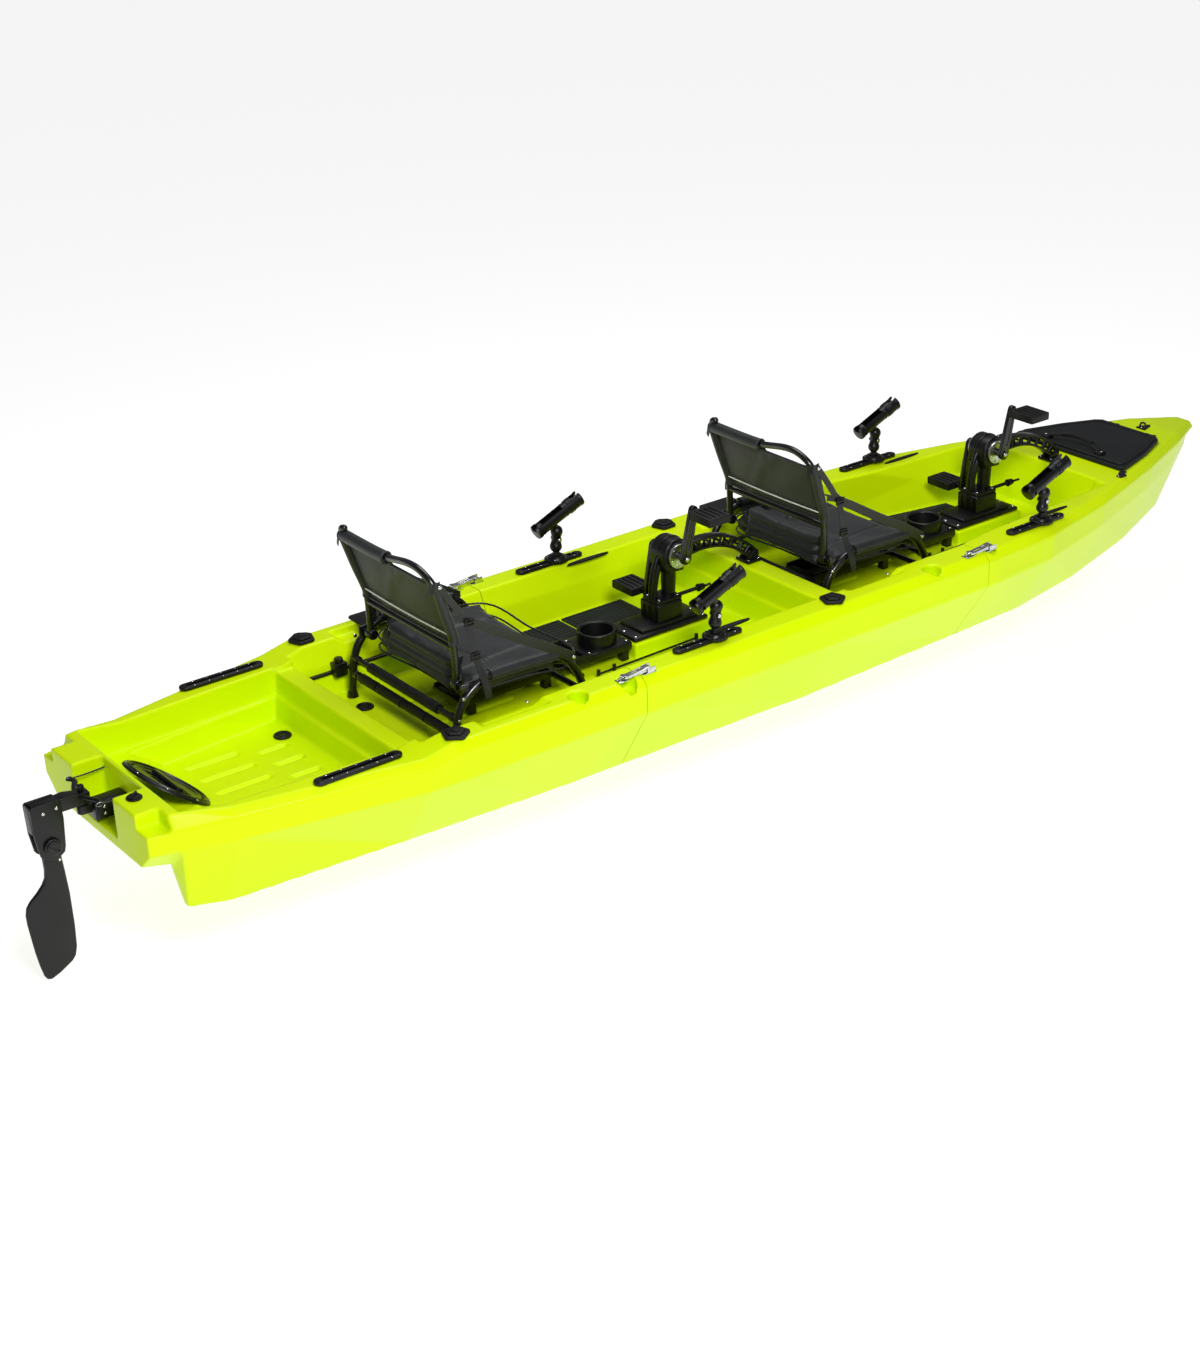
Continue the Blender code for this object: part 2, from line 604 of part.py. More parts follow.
def build_arch(unit, mover):
    """Ladder-like arch from the gearbox head down to the bulkhead ahead of it."""
    centre = (-0.110, 0.150)
    outer_r, inner_r = 0.272, 0.236
    start, end = 101, 41
    outer = arc_points(centre, outer_r, start, end, 13)
    inner = arc_points(centre, inner_r, end, start, 13)
    windows = []
    rungs = 7
    for i in range(rungs):
        low = start + (end - start) * (i + 0.18) / rungs
        high = start + (end - start) * (i + 0.82) / rungs
        windows.append([p for a in (low, high) for p in
                        (arc_points(centre, inner_r + 0.008 if a == low else outer_r - 0.008,
                                    low, high, 2) if a == low else
                         arc_points(centre, outer_r - 0.008, high, low, 2))])
    arch = plate(unit + "_drive_arch", [outer + inner] + windows, 0.034, side_plane(0.0), BLACK)
    join(arch, block("foot", (0.044, -0.030, DECK_Z + FIT_GAP), (0.097, 0.030, DECK_Z + 0.012),
                     None, 0.002))
    return finish(arch, mover)


def build_drive(unit, mover):
    axle_x, axle_z = CRANK_AXLE
    aft, front, half = SLOT
    base_z = CONSOLE_TOP_Z + FIT_GAP

    housing = block(unit + "_drive_housing", (aft - 0.028, -half - 0.022, base_z),
                    (front + 0.028, half + 0.022, base_z + 0.014), BLACK, 0.003)
    join(housing,
         block("clamp", (-0.292, -0.040, base_z + 0.010), (-0.208, 0.040, 0.282), None, 0.004),
         rod("front_post", (-0.226, 0, 0.275), (-0.222, 0, 0.385), 0.020, sides=16),
         rod("aft_post", (-0.274, 0, 0.275), (-0.252, 0, 0.395), 0.010, sides=12),
         rod("head", (axle_x, -0.036, axle_z), (axle_x, 0.036, axle_z), 0.047, sides=24),
         rod("disc", (axle_x, -0.043, axle_z), (axle_x, -0.030, axle_z), 0.035, sides=24))
    cut(housing, rod("axle_bore", (axle_x, -0.06, axle_z), (axle_x, 0.06, axle_z), 0.0125))
    finish(housing, mover)

    build_arch(unit, mover)

    leg_top = base_z - 0.0006
    prop_x, prop_z = PROP_CENTRE
    strut = [(0.034 * math.cos(math.radians(a)), 0.011 * math.sin(math.radians(a)))
             for a in range(0, 360, 30)]
    leg = plate(unit + "_drive_leg", [strut], leg_top - prop_z,
                Matrix.Translation((-0.256, 0, (leg_top + prop_z) / 2)), BLACK)
    join(leg, rod("gearcase", (-0.300, 0, prop_z), (-0.215, 0, prop_z), 0.021, sides=16),
         rod("nose", (-0.216, 0, prop_z), (-0.185, 0, prop_z), 0.021, None, 0.007, 16),
         block("skeg", (-0.285, -0.003, prop_z - 0.055), (-0.240, 0.003, prop_z - 0.015), None,
               0.0, (0.0, 0.0)))
    finish(leg, mover)


def build_crank(unit, mover):
    axle_x, axle_z = CRANK_AXLE
    crank = rod(unit + "_crank", (axle_x, -0.079, axle_z), (axle_x, 0.079, axle_z), 0.0115, TUBE)
    reach = Vector((math.sin(CRANK_LEAN), 0, math.cos(CRANK_LEAN))) * CRANK_RADIUS
    hub = Vector((axle_x, 0, axle_z))
    ends = {}
    for side, sign in (("stbd", -1), ("port", 1)):
        end = hub + (reach if sign < 0 else -reach)
        near, far = sign * 0.061, sign * 0.075
        across = Vector((reach.z, 0, -reach.x)).normalized()
        along = (end - hub).normalized()
        outline = []
        for centre, radius, base in ((hub, 0.017, 90), (end, 0.012, -90)):
            for i in range(5):
                angle = math.radians(base + 45 * i)
                co = centre + along * radius * math.cos(angle) + across * radius * math.sin(angle)
                outline.append((co.x, co.z))
        join(crank, plate("arm", [outline], 0.014, side_plane((near + far) / 2)),
             rod("spindle", (end.x, far - sign * 0.004, end.z), (end.x, sign * 0.0905, end.z),
                 0.0075, sides=12))
        ends[side] = end
    finish(crank, mover, hub)

    for side, sign in (("stbd", -1), ("port", 1)):
        end = ends[side]
        near, far = sign * 0.0915, sign * 0.186
        pedal = block("%s_pedal_%s" % (unit, side), (end.x - 0.037, min(near, far), end.z - 0.012),
                      (end.x + 0.037, max(near, far), end.z + 0.012), RUBBER, 0.004)
        finish(pedal, mover, (end.x, sign * PEDAL_Y, end.z))


def build_propeller(unit, mover):
    x, z = PROP_CENTRE
    prop = rod(unit + "_propeller", (x - 0.016, 0, z), (x + 0.0185, 0, z), 0.019, BLACK, sides=16)
    blade = [(-0.010, 0.012), (-0.019, 0.040), (-0.016, 0.070), (-0.004, PROP_RADIUS),
             (0.010, PROP_RADIUS - 0.004), (0.018, 0.060), (0.016, 0.030), (0.010, 0.012)]
    for turn in (0, 180):
        piece = plate("blade", [blade], 0.004, Matrix.Identity(4))
        face = Matrix(((0, 0, 1, 0), (1, 0, 0, 0), (0, 1, 0, 0), (0, 0, 0, 1)))
        pitch = Matrix.Rotation(math.radians(32), 4, "Z")
        piece.matrix_world = Matrix.Translation((x, 0, z)) \
            @ Matrix.Rotation(math.radians(turn), 4, "X") @ pitch @ face
        join(prop, piece)
    finish(prop, mover, (x, 0, z))


# ---------------------------------------------------------------- rod holders
def build_rod_holder(unit, side, sign, mover):
    x, y = ROD_BASE[0], sign * ROD_BASE[1]
    label = "%s_%s" % (unit, side)
    deck = DECK_Z + FIT_GAP

    track = gear_track("rod_track_" + label, -0.492, -0.262, y, deck, 0.016, 0.010)
    join(track, rod("disc", (x, y, deck + 0.004), (x, y, deck + 0.022), 0.034, None, 0.026, 20),
         rod("neck", (x, y, deck + 0.020), (x, y, ROD_LOWER_BALL_Z - 0.0190), 0.011, sides=12))
    finish(track, mover)

    upper = Vector((ROD_UPPER_BALL[0], y, ROD_UPPER_BALL[1]))
    lower = Vector((x, y, ROD_LOWER_BALL_Z))
    arm = rod("rod_arm_" + label, lower, upper, 0.014, BLACK, sides=12)
    join(arm, ball("socket", lower, 0.0180), ball("socket", upper, 0.0180))
    finish(arm, mover, lower)

    lean = Matrix.Rotation(-ROD_TUBE_LEAN, 4, "Y")
    origin = Matrix.Translation(upper) @ lean
    stem = rod("rod_tube_" + label, (0, 0, 0.0190), (0, 0, 0.026), 0.012, BLACK, sides=12)
    join(stem, rod("barrel", (-0.062, 0, 0.042), (0.110, 0, 0.042), 0.0205, sides=20),
         rod("collar", (0.060, 0, 0.042), (0.106, 0, 0.042), 0.0235, sides=20))
    cut(stem, rod("bore", (-0.052, 0, 0.042), (0.150, 0, 0.042), 0.0160, sides=20),
        block("window", (-0.040, -0.012, 0.045), (0.045, 0.012, 0.080)))
    stem.matrix_world = origin
    finish(stem, mover, upper)


# ---------------------------------------------------------------- assembly
def main():
    root = empty("kayak_origin", (0, 0, 0))
    build_hull(root)
    build_tank_hatch(root)
    build_drain_plug(root)
    build_deck_hardware(root)
    build_rudder(root)
    build_bow_lid(root)
    for unit, shift in UNITS:
        station = empty(unit + "_station", (shift, 0, 0), root)
        build_seat(unit, station)
        build_floor(unit, station)
        build_drive(unit, station)
        build_crank(unit, station)
        build_propeller(unit, station)
        for side, sign in SIDES:
            build_rod_holder(unit, side, sign, station)


main()
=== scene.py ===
# Finished look of the modular tandem pedal kayak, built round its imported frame.
# Bow along +X, port along +Y, up +Z, metres. Every fitting of the rear seat station
# repeats one hull module further forward for the front station.

import json
import math

import bpy
from mathutils import Matrix, Vector


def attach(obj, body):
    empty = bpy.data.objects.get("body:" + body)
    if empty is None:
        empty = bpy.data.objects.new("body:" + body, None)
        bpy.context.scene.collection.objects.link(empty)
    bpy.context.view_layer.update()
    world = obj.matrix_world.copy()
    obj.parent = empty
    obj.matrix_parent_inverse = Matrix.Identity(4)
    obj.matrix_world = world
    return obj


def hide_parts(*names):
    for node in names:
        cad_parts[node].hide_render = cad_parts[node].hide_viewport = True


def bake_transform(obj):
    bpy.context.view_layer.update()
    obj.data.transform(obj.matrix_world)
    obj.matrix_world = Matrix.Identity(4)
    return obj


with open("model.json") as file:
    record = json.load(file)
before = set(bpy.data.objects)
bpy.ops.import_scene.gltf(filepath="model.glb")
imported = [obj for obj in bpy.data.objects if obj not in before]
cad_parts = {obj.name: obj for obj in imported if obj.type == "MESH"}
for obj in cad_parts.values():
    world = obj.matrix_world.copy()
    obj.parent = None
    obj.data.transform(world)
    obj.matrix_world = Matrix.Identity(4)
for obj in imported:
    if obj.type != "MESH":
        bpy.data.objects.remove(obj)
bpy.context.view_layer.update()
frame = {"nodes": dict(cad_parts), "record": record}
print("frame loaded:", len(frame["nodes"]), "nodes")

mm = 0.001
stations = {"rear": 0.0, "front": 1.246}     # how far forward each seat station sits
sides = {"port": 1, "stbd": -1}
seams = {"aft": -0.636, "fwd": 0.610}
deckZ = 0.300
floorZ = 0.155


def focus(obj):
    bpy.ops.object.select_all(action="DESELECT")
    obj.select_set(True)
    bpy.context.view_layer.objects.active = obj
    return obj


def applyPlace(obj):
    focus(obj)
    bpy.ops.object.transform_apply(location=True, rotation=True, scale=True)
    return obj


def nameIt(name):
    obj = bpy.context.object
    obj.name = name
    obj.data.name = name
    return applyPlace(obj)


def addBox(name, low, high):
    low, high = Vector(low), Vector(high)
    bpy.ops.object.select_all(action="DESELECT")
    bpy.ops.mesh.primitive_cube_add(size=1, location=(low + high) / 2, scale=high - low)
    return nameIt(name)


def addRound(name, start, end, radius, sides=32, endRadius=None):
    start, end = Vector(start), Vector(end)
    along = end - start
    turn = Vector((0, 0, 1)).rotation_difference(along).to_euler()
    bpy.ops.object.select_all(action="DESELECT")
    bpy.ops.mesh.primitive_cone_add(vertices=sides, radius1=radius, depth=along.length,
                                    radius2=radius if endRadius is None else endRadius,
                                    location=(start + end) / 2, rotation=turn)
    return nameIt(name)


def addBall(name, centre, radius, segments=24, rings=14):
    bpy.ops.object.select_all(action="DESELECT")
    bpy.ops.mesh.primitive_uv_sphere_add(segments=segments, ring_count=rings, radius=radius,
                                         location=centre)
    return nameIt(name)


def addRing(name, centre, radius, thickness, normal=(0, 0, 1), major=40, minor=10):
    turn = Vector((0, 0, 1)).rotation_difference(Vector(normal)).to_euler()
    bpy.ops.object.select_all(action="DESELECT")
    bpy.ops.mesh.primitive_torus_add(major_radius=radius, minor_radius=thickness,
                                     major_segments=major, minor_segments=minor,
                                     location=centre, rotation=turn)
    return nameIt(name)


def modify(obj, kind, **settings):
    focus(obj)
    modifier = obj.modifiers.new(kind.lower(), kind)
    for key, value in settings.items():
        setattr(modifier, key, value)
    bpy.ops.object.modifier_apply(modifier=modifier.name)
    return obj


def roundEdges(obj, width, segments=2, angle=30):
    return modify(obj, "BEVEL", width=width, segments=segments, limit_method="ANGLE",
                  angle_limit=math.radians(angle), use_clamp_overlap=True)


def cut(obj, *tools):
    for tool in tools:
        modify(obj, "BOOLEAN", operation="DIFFERENCE", solver="EXACT", object=tool)
        bpy.data.objects.remove(tool, do_unlink=True)
    return obj


def weld(obj, *others):
    for other in others:
        modify(obj, "BOOLEAN", operation="UNION", solver="EXACT", object=other)
        bpy.data.objects.remove(other, do_unlink=True)
    return obj


# joins loose pieces of one material into one object
def gather(obj, *others):
    focus(obj)
    for other in others:
        other.select_set(True)
    bpy.ops.object.join()
    return obj


def smooth(obj, angle=35):
    focus(obj)
    bpy.ops.object.shade_smooth_by_angle(angle=math.radians(angle))
    return obj


def copyOf(obj, name, move=(0, 0, 0), mirror=False):
    mesh = obj.data.copy()
    if mirror:
        mesh.transform(Matrix.Scale(-1, 4, (0, 1, 0)))
        mesh.flip_normals()
    mesh.transform(Matrix.Translation(Vector(move)))
    twin = bpy.data.objects.new(name, mesh)
    mesh.name = name
    bpy.context.scene.collection.objects.link(twin)
    return twin


# a CAD node's mesh as a fresh welded piece
def cadCopy(node, name):
    twin = bpy.data.objects.new(name, frame["nodes"][node].data.copy())
    twin.data.materials.clear()
    bpy.context.scene.collection.objects.link(twin)
    focus(twin)
    bpy.ops.object.mode_set(mode="EDIT")
    bpy.ops.mesh.select_all(action="SELECT")
    bpy.ops.mesh.remove_doubles(threshold=0.00002)
    bpy.ops.object.mode_set(mode="OBJECT")
    return twin


# in edit mode, selects the faces whose centre and normal pass the test
def pickFaces(obj, test):
    focus(obj)
    bpy.ops.object.mode_set(mode="EDIT")
    bpy.ops.mesh.select_mode(type="FACE")
    bpy.ops.mesh.select_all(action="DESELECT")
    bpy.ops.object.mode_set(mode="OBJECT")
    for face in obj.data.polygons:
        face.select = test(face.center, face.normal)
    bpy.ops.object.mode_set(mode="EDIT")


def leaveEdit():
    bpy.ops.object.mode_set(mode="OBJECT")


def smoothPath(points, steps=6):
    points = [Vector(point) for point in points]
    ends = [points[0] * 2 - points[1]] + points + [points[-1] * 2 - points[-2]]
    path = []
    for a, b, c, d in zip(ends, ends[1:], ends[2:], ends[3:]):
        for i in range(steps):
            t = i / steps
            path.append((b * 2 + (c - a) * t + (a * 2 - b * 5 + c * 4 - d) * t ** 2
                         + (b * 3 - a - c * 3 + d) * t ** 3) / 2)
    return path + [points[-1]]


# straight runs joined by bends, as a tube bender leaves them
def bentPath(points, reach, steps=6):
    points = [Vector(point) for point in points]
    path = [points[0]]
    for before, corner, after in zip(points, points[1:], points[2:]):
        back = corner + (before - corner).normalized() * min(reach, (before - corner).length * 0.45)
        on = corner + (after - corner).normalized() * min(reach, (after - corner).length * 0.45)
        for i in range(steps + 1):
            t = i / steps
            path.append(back.lerp(corner, t).lerp(corner.lerp(on, t), t))
    return path + [points[-1]]


def addTube(name, points, radius, sides=12, closed=False):
    curve = bpy.data.curves.new(name, "CURVE")
    curve.dimensions = "3D"
    curve.bevel_depth = radius
    curve.bevel_resolution = sides // 2 - 2
    curve.use_fill_caps = True
    spline = curve.splines.new("POLY")
    spline.points.add(len(points) - 1)
    for point, place in zip(spline.points, points):
        point.co = (*place, 1)
    spline.use_cyclic_u = closed
    tube = bpy.data.objects.new(name, curve)
    bpy.context.scene.collection.objects.link(tube)
    focus(tube)
    bpy.ops.object.convert(target="MESH")
    return bpy.context.object


# a flat outline thickened from low to high along one axis
def addPlate(name, outline, low, high, axis="Z"):
    bpy.ops.object.select_all(action="DESELECT")
    bpy.ops.mesh.primitive_circle_add(vertices=len(outline), radius=1, fill_type="NGON")
    obj = bpy.context.object
    placed = {"Z": lambda u, v: (u, v, low), "Y": lambda u, v: (u, low, v),
              "X": lambda u, v: (low, u, v)}[axis]
    for vert, (u, v) in zip(obj.data.vertices, outline):
        vert.co = placed(u, v)
    push = {"Z": (0, 0, high - low), "Y": (0, high - low, 0), "X": (high - low, 0, 0)}[axis]
    bpy.ops.object.mode_set(mode="EDIT")
    bpy.ops.mesh.select_all(action="SELECT")
    bpy.ops.mesh.extrude_region_move(TRANSFORM_OT_translate={"value": push})
    bpy.ops.mesh.select_all(action="SELECT")
    bpy.ops.mesh.normals_make_consistent(inside=False)
    bpy.ops.object.mode_set(mode="OBJECT")
    return nameIt(name)


# a flat strap along a path, its width laid along the across direction
def addBand(name, path, width, across, endAcross=None, thickness=1.8 * mm):
    count = len(path) - 1
    bpy.ops.object.select_all(action="DESELECT")
    bpy.ops.mesh.primitive_grid_add(x_subdivisions=count, y_subdivisions=1, size=2)
    band = bpy.context.object
    across = Vector(across).normalized()
    endAcross = Vector(endAcross).normalized() if endAcross else across
    for vert in band.data.vertices:
        i = round((vert.co.x + 1) / 2 * count)
        side = across.lerp(endAcross, i / count).normalized()
        vert.co = Vector(path[i]) + side * (vert.co.y * width / 2)
    nameIt(name)
    return modify(band, "SOLIDIFY", thickness=thickness, offset=0)


def arc(centre, radius, start, end, count):
    return [(centre[0] + radius * math.cos(math.radians(start + (end - start) * i / (count - 1))),
             centre[1] + radius * math.sin(math.radians(start + (end - start) * i / (count - 1))))
            for i in range(count)]


def tilt(obj, centre, degrees, axis):
    obj.data.transform(Matrix.Translation(Vector(centre))
                       @ Matrix.Rotation(math.radians(degrees), 4, axis)
                       @ Matrix.Translation(-Vector(centre)))
    return obj


# settles a piece made for the rear station (and the port side), then its repeats
def spread(obj, body, mat, slot, *nodes, along=True, across=False, angle=35):
    made = [settle(obj, body, mat, slot, *nodes, angle=angle)]
    for station in stations if along else ("rear",):
        for side in sides if across else ("port",):
            if station == "rear" and side == "port":
                continue
            swap = lambda text: text.replace("rear", station).replace("port", side)
            twin = copyOf(obj, swap(obj.name), (stations[station], 0, 0), side == "stbd")
            made.append(settle(twin, swap(body), mat, slot, *map(swap, nodes), angle=angle))
    return made


def hexColour(code):
    channels = [int(code[i:i + 2], 16) / 255 for i in (1, 3, 5)]
    return tuple(c / 12.92 if c <= 0.04045 else ((c + 0.055) / 1.055) ** 2.4
                 for c in channels) + (1.0,)


# adds one node: plain settings go on the node or its sockets, links come from other nodes
def addNode(mat, kind, settings=None, links=None):
    node = mat.node_tree.nodes.new(kind)
    for key, value in (settings or {}).items():
        if isinstance(key, str) and hasattr(node, key):
            setattr(node, key, value)
        else:
            node.inputs[key].default_value = value
    for key, (source, output) in (links or {}).items():
        mat.node_tree.links.new(source.outputs[output], node.inputs[key])
    return node


def startMaterial(name, settings):
    mat = bpy.data.materials.new(name)
    mat.use_nodes = True
    shader = mat.node_tree.nodes["Principled BSDF"]
    for key, value in settings.items():
        shader.inputs[key].default_value = hexColour(value) if isinstance(value, str) else value
    return mat, shader


def connect(mat, source, output, target, socket):
    mat.node_tree.links.new(source.outputs[output], target.inputs[socket])


# colour drift, gloss drift and a moulded or cast grain, all in object space
def grainedMaterial(name, look):
    mat, shader = startMaterial(name, look["shader"])
    place = addNode(mat, "ShaderNodeTexCoord")
    drift = addNode(mat, "ShaderNodeTexNoise",
                    {"Scale": 1 / (look["driftMm"] * mm), "Detail": 3.0},
                    {"Vector": (place, "Object")})
    ramp = addNode(mat, "ShaderNodeValToRGB", {}, {"Fac": (drift, "Fac")})
    ramp.color_ramp.elements[0].position = 0.30
    ramp.color_ramp.elements[0].color = hexColour(look["dark"])
    ramp.color_ramp.elements[1].position = 0.70
    ramp.color_ramp.elements[1].color = hexColour(look["light"])
    connect(mat, ramp, "Color", shader, "Base Color")
    gloss = addNode(mat, "ShaderNodeMapRange",
                    {"To Min": look["gloss"][0], "To Max": look["gloss"][1]},
                    {"Value": (drift, "Fac")})
    connect(mat, gloss, "Result", shader, "Roughness")
    grain = addNode(mat, "ShaderNodeTexNoise",
                    {"Scale": 1 / (look["grainMm"] * mm), "Detail": 2.0},
                    {"Vector": (place, "Object")})
    bump = addNode(mat, "ShaderNodeBump",
                   {"Strength": look["bump"], "Distance": look["reliefMm"] * mm},
                   {"Height": (grain, "Fac")})
    connect(mat, bump, "Normal", shader, "Normal")
    return mat


# rotomoulded polyethylene: saturated dye all through, waxy gloss, faint orange peel
hullLook = {"shader": {"IOR": 1.51, "Specular IOR Level": 0.14},
            "dark": "#D0F000", "light": "#DAF500", "driftMm": 420, "gloss": (0.26, 0.36),
            "grainMm": 7, "reliefMm": 0.35, "bump": 0.25}   # peel drawn 3x coarse so it shows
# glass-filled nylon: moulded black, fine spark-eroded grain, satin
nylonLook = {"shader": {"IOR": 1.53, "Specular IOR Level": 0.34},
             "dark": "#070708", "light": "#0E0F10", "driftMm": 60,
             "gloss": (0.30, 0.42), "grainMm": 1.4, "reliefMm": 0.10, "bump": 0.30}
# powder-coated aluminium: black, slight texture, deeper gloss than the nylon
powderLook = {"shader": {"IOR": 1.50, "Coat Weight": 0.25, "Coat Roughness": 0.12},
              "dark": "#050506", "light": "#0B0B0D", "driftMm": 80, "gloss": (0.22, 0.32),
              "grainMm": 1.8, "reliefMm": 0.08, "bump": 0.25}
# moulded rubber: matt, a little dusty
rubberLook = {"shader": {"IOR": 1.52, "Specular IOR Level": 0.30},
              "dark": "#09090A", "light": "#121314", "driftMm": 40,
              "gloss": (0.48, 0.62), "grainMm": 1.1, "reliefMm": 0.12, "bump": 0.35}
# EVA foam: dark grey, closed cell, dry
foamLook = {"shader": {"IOR": 1.45, "Specular IOR Level": 0.25},
            "dark": "#1C1F20", "light": "#26292A", "driftMm": 90,
            "gloss": (0.72, 0.85), "grainMm": 2.0, "reliefMm": 0.15, "bump": 0.40}
# textured polypropylene lid: charcoal, matt leather-like grain
lidLook = {"shader": {"IOR": 1.49, "Specular IOR Level": 0.30},
           "dark": "#121416", "light": "#1A1C1E", "driftMm": 120,
           "gloss": (0.50, 0.60), "grainMm": 2.6, "reliefMm": 0.18, "bump": 0.45}
# polished stainless steel: bright, cool grey, light handling marks
steelLook = {"shader": {"Metallic": 1.0}, "dark": "#B9BBBD", "light": "#DADBDC", "driftMm": 12,
             "gloss": (0.16, 0.30), "grainMm": 0.9, "reliefMm": 0.03, "bump": 0.20}

polyethylene = grainedMaterial("rotomoulded_polyethylene", hullLook)
nylon = grainedMaterial("glass_filled_nylon", nylonLook)
powderCoat = grainedMaterial("powder_coated_aluminium", powderLook)
rubber = grainedMaterial("moulded_rubber", rubberLook)
evaFoam = grainedMaterial("eva_foam", foamLook)
lidPlastic = grainedMaterial("textured_polypropylene", lidLook)
stainless = grainedMaterial("polished_stainless_steel", steelLook)
# woven cloth: two crossed thread waves, faint wear and a dry sheen
def wovenMaterial(name, look):
    mat, shader = startMaterial(name, look["shader"])
    place = addNode(mat, "ShaderNodeTexCoord")
    scale = 0.314 / (look["threadMm"] * mm)         # a wave band repeats every 0.314 / scale
    waves = [addNode(mat, "ShaderNodeTexWave",
                     {"bands_direction": direction, "Scale": scale, "Distortion": 0.6,
                      "Detail": 1.0}, {"Vector": (place, "Object")})
             for direction in look["bands"]]
    weave = addNode(mat, "ShaderNodeMath", {"operation": "MAXIMUM"},
                    {0: (waves[0], "Fac"), 1: (waves[1], "Fac")})
    wear = addNode(mat, "ShaderNodeTexNoise", {"Scale": 1 / (look["driftMm"] * mm), "Detail": 4.0},
                   {"Vector": (place, "Object")})
    blend = addNode(mat, "ShaderNodeMath", {"operation": "MULTIPLY"},
                    {0: (weave, "Value"), 1: (wear, "Fac")})
    ramp = addNode(mat, "ShaderNodeValToRGB", {}, {"Fac": (blend, "Value")})
    ramp.color_ramp.elements[0].position = 0.15
    ramp.color_ramp.elements[0].color = hexColour(look["dark"])
    ramp.color_ramp.elements[1].position = 0.60
    ramp.color_ramp.elements[1].color = hexColour(look["light"])
    connect(mat, ramp, "Color", shader, "Base Color")
    bump = addNode(mat, "ShaderNodeBump",
                   {"Strength": look["bump"], "Distance": look["reliefMm"] * mm},
                   {"Height": (weave, "Value")})
    connect(mat, bump, "Normal", shader, "Normal")
    return mat


# coated polyester seat cloth: charcoal with a blue cast, soft sheen; threads drawn 4x coarse
seatLook = {"shader": {"Roughness": 0.50, "IOR": 1.50, "Sheen Weight": 0.10,
                       "Sheen Roughness": 0.45}, "dark": "#0D0F11", "light": "#1F2326",
            "threadMm": 3.0, "bands": ("X", "Y"), "driftMm": 45, "bump": 0.35, "reliefMm": 0.25}
# open mesh cloth of the seat backs: olive-black; holes drawn 3x coarse so they show
meshLook = {"shader": {"Roughness": 0.62, "IOR": 1.50, "Sheen Weight": 0.10,
                       "Sheen Roughness": 0.50}, "dark": "#090A08", "light": "#1A1B14",
            "threadMm": 4.5, "bands": ("Y", "Z"), "driftMm": 70, "bump": 0.55, "reliefMm": 0.5}
# nylon webbing: black, ribbed across its length
webbingLook = {"shader": {"Roughness": 0.48, "IOR": 1.53, "Sheen Weight": 0.15,
                          "Sheen Roughness": 0.40}, "dark": "#070708", "light": "#131416",
               "threadMm": 3.2, "bands": ("X", "DIAGONAL"), "driftMm": 30, "bump": 0.45,
               "reliefMm": 0.3}
# reflective piping: glass-beaded silver-white tape
reflectiveLook = {"shader": {"IOR": 1.52, "Metallic": 0.1}, "dark": "#D4D6D4", "light": "#F2F3F1",
                  "driftMm": 14, "gloss": (0.34, 0.48), "grainMm": 1.2, "reliefMm": 0.06,
                  "bump": 0.25}
# machined aluminium disc and bolts of the drives: bright, turned
machinedLook = {"shader": {"Metallic": 1.0}, "dark": "#C9CBCC", "light": "#E6E7E7", "driftMm": 18,
                "gloss": (0.24, 0.40), "grainMm": 1.0, "reliefMm": 0.04, "bump": 0.25}

seatFabric = wovenMaterial("coated_polyester_cloth", seatLook)
backMesh = wovenMaterial("open_mesh_cloth", meshLook)
webbing = wovenMaterial("nylon_webbing", webbingLook)
reflective = grainedMaterial("reflective_piping", reflectiveLook)
machined = grainedMaterial("machined_aluminium", machinedLook)


print("materials ready")


# settles a finished piece: finish, shading, body and the CAD nodes it replaces
def settle(obj, body, mat, slot, *nodes, angle=35):
    obj.data.materials.clear()
    obj.data.materials.append(mat)
    smooth(obj, angle)
    if body:
        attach(obj, body)
    if nodes:
        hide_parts(*nodes)
    return obj


# The hull: the three CAD sections are united, given their moulded detail, skinned to one
# soft-edged rotomoulded surface, then parted again at the seams.
hull = {"voxel": 4.5 * mm, "quickVoxel": 6.5 * mm, "softening": 3, "keep": 0.42,
        "groove": 17 * mm, "grooveDepth": 8 * mm, "seam": 2.8 * mm}


def stretchSeam(obj, seamX, shift):
    for vert in obj.data.vertices:
        if abs(vert.co.x - seamX) < 2 * mm:
            vert.co.x += shift


# a long tapered tub or block: low and high rectangles at two heights
def addTub(name, lowZ, highZ, lowX, highX, lowY, highY):
    tub = addBox(name, (-1, -1, -1), (1, 1, 1))
    for vert in tub.data.vertices:
        end = 1 if vert.co.x > 0 else 0
        side = 1 if vert.co.y > 0 else -1
        up = vert.co.z > 0
        vert.co = ((highX if up else lowX)[end], side * (highY if up else lowY)[end],
                   highZ if up else lowZ)
    return tub


def grooveTool(x0, x1, y, z):
    radius = hull["groove"] / 2
    low = z - hull["grooveDepth"]
    bar = addBox("groove", (x0, y - radius, low), (x1, y + radius, z + 0.02))
    for x in (x0, x1):
        weld(bar, addRound("grooveEnd", (x, y, low), (x, y, z + 0.02), radius, 12))
    return bar


def tankWellDetail(body):
    cut(body, addTub("shelf", 0.208, 0.34, (-1.845, -1.322), (-1.925, -1.312),
                     (0.268, 0.296), (0.278, 0.316)))
    cut(body, addBox("bulkheadTop", (-1.325, -0.300, 0.270), (-1.245, 0.300, 0.340)))
    for i in range(5):
        cut(body, grooveTool(-1.660, -1.520, (i - 2) * 0.085, 0.150))
    for i in range(4):
        cut(body, grooveTool(-1.470, -1.400, (i - 1.5) * 0.085, 0.150))


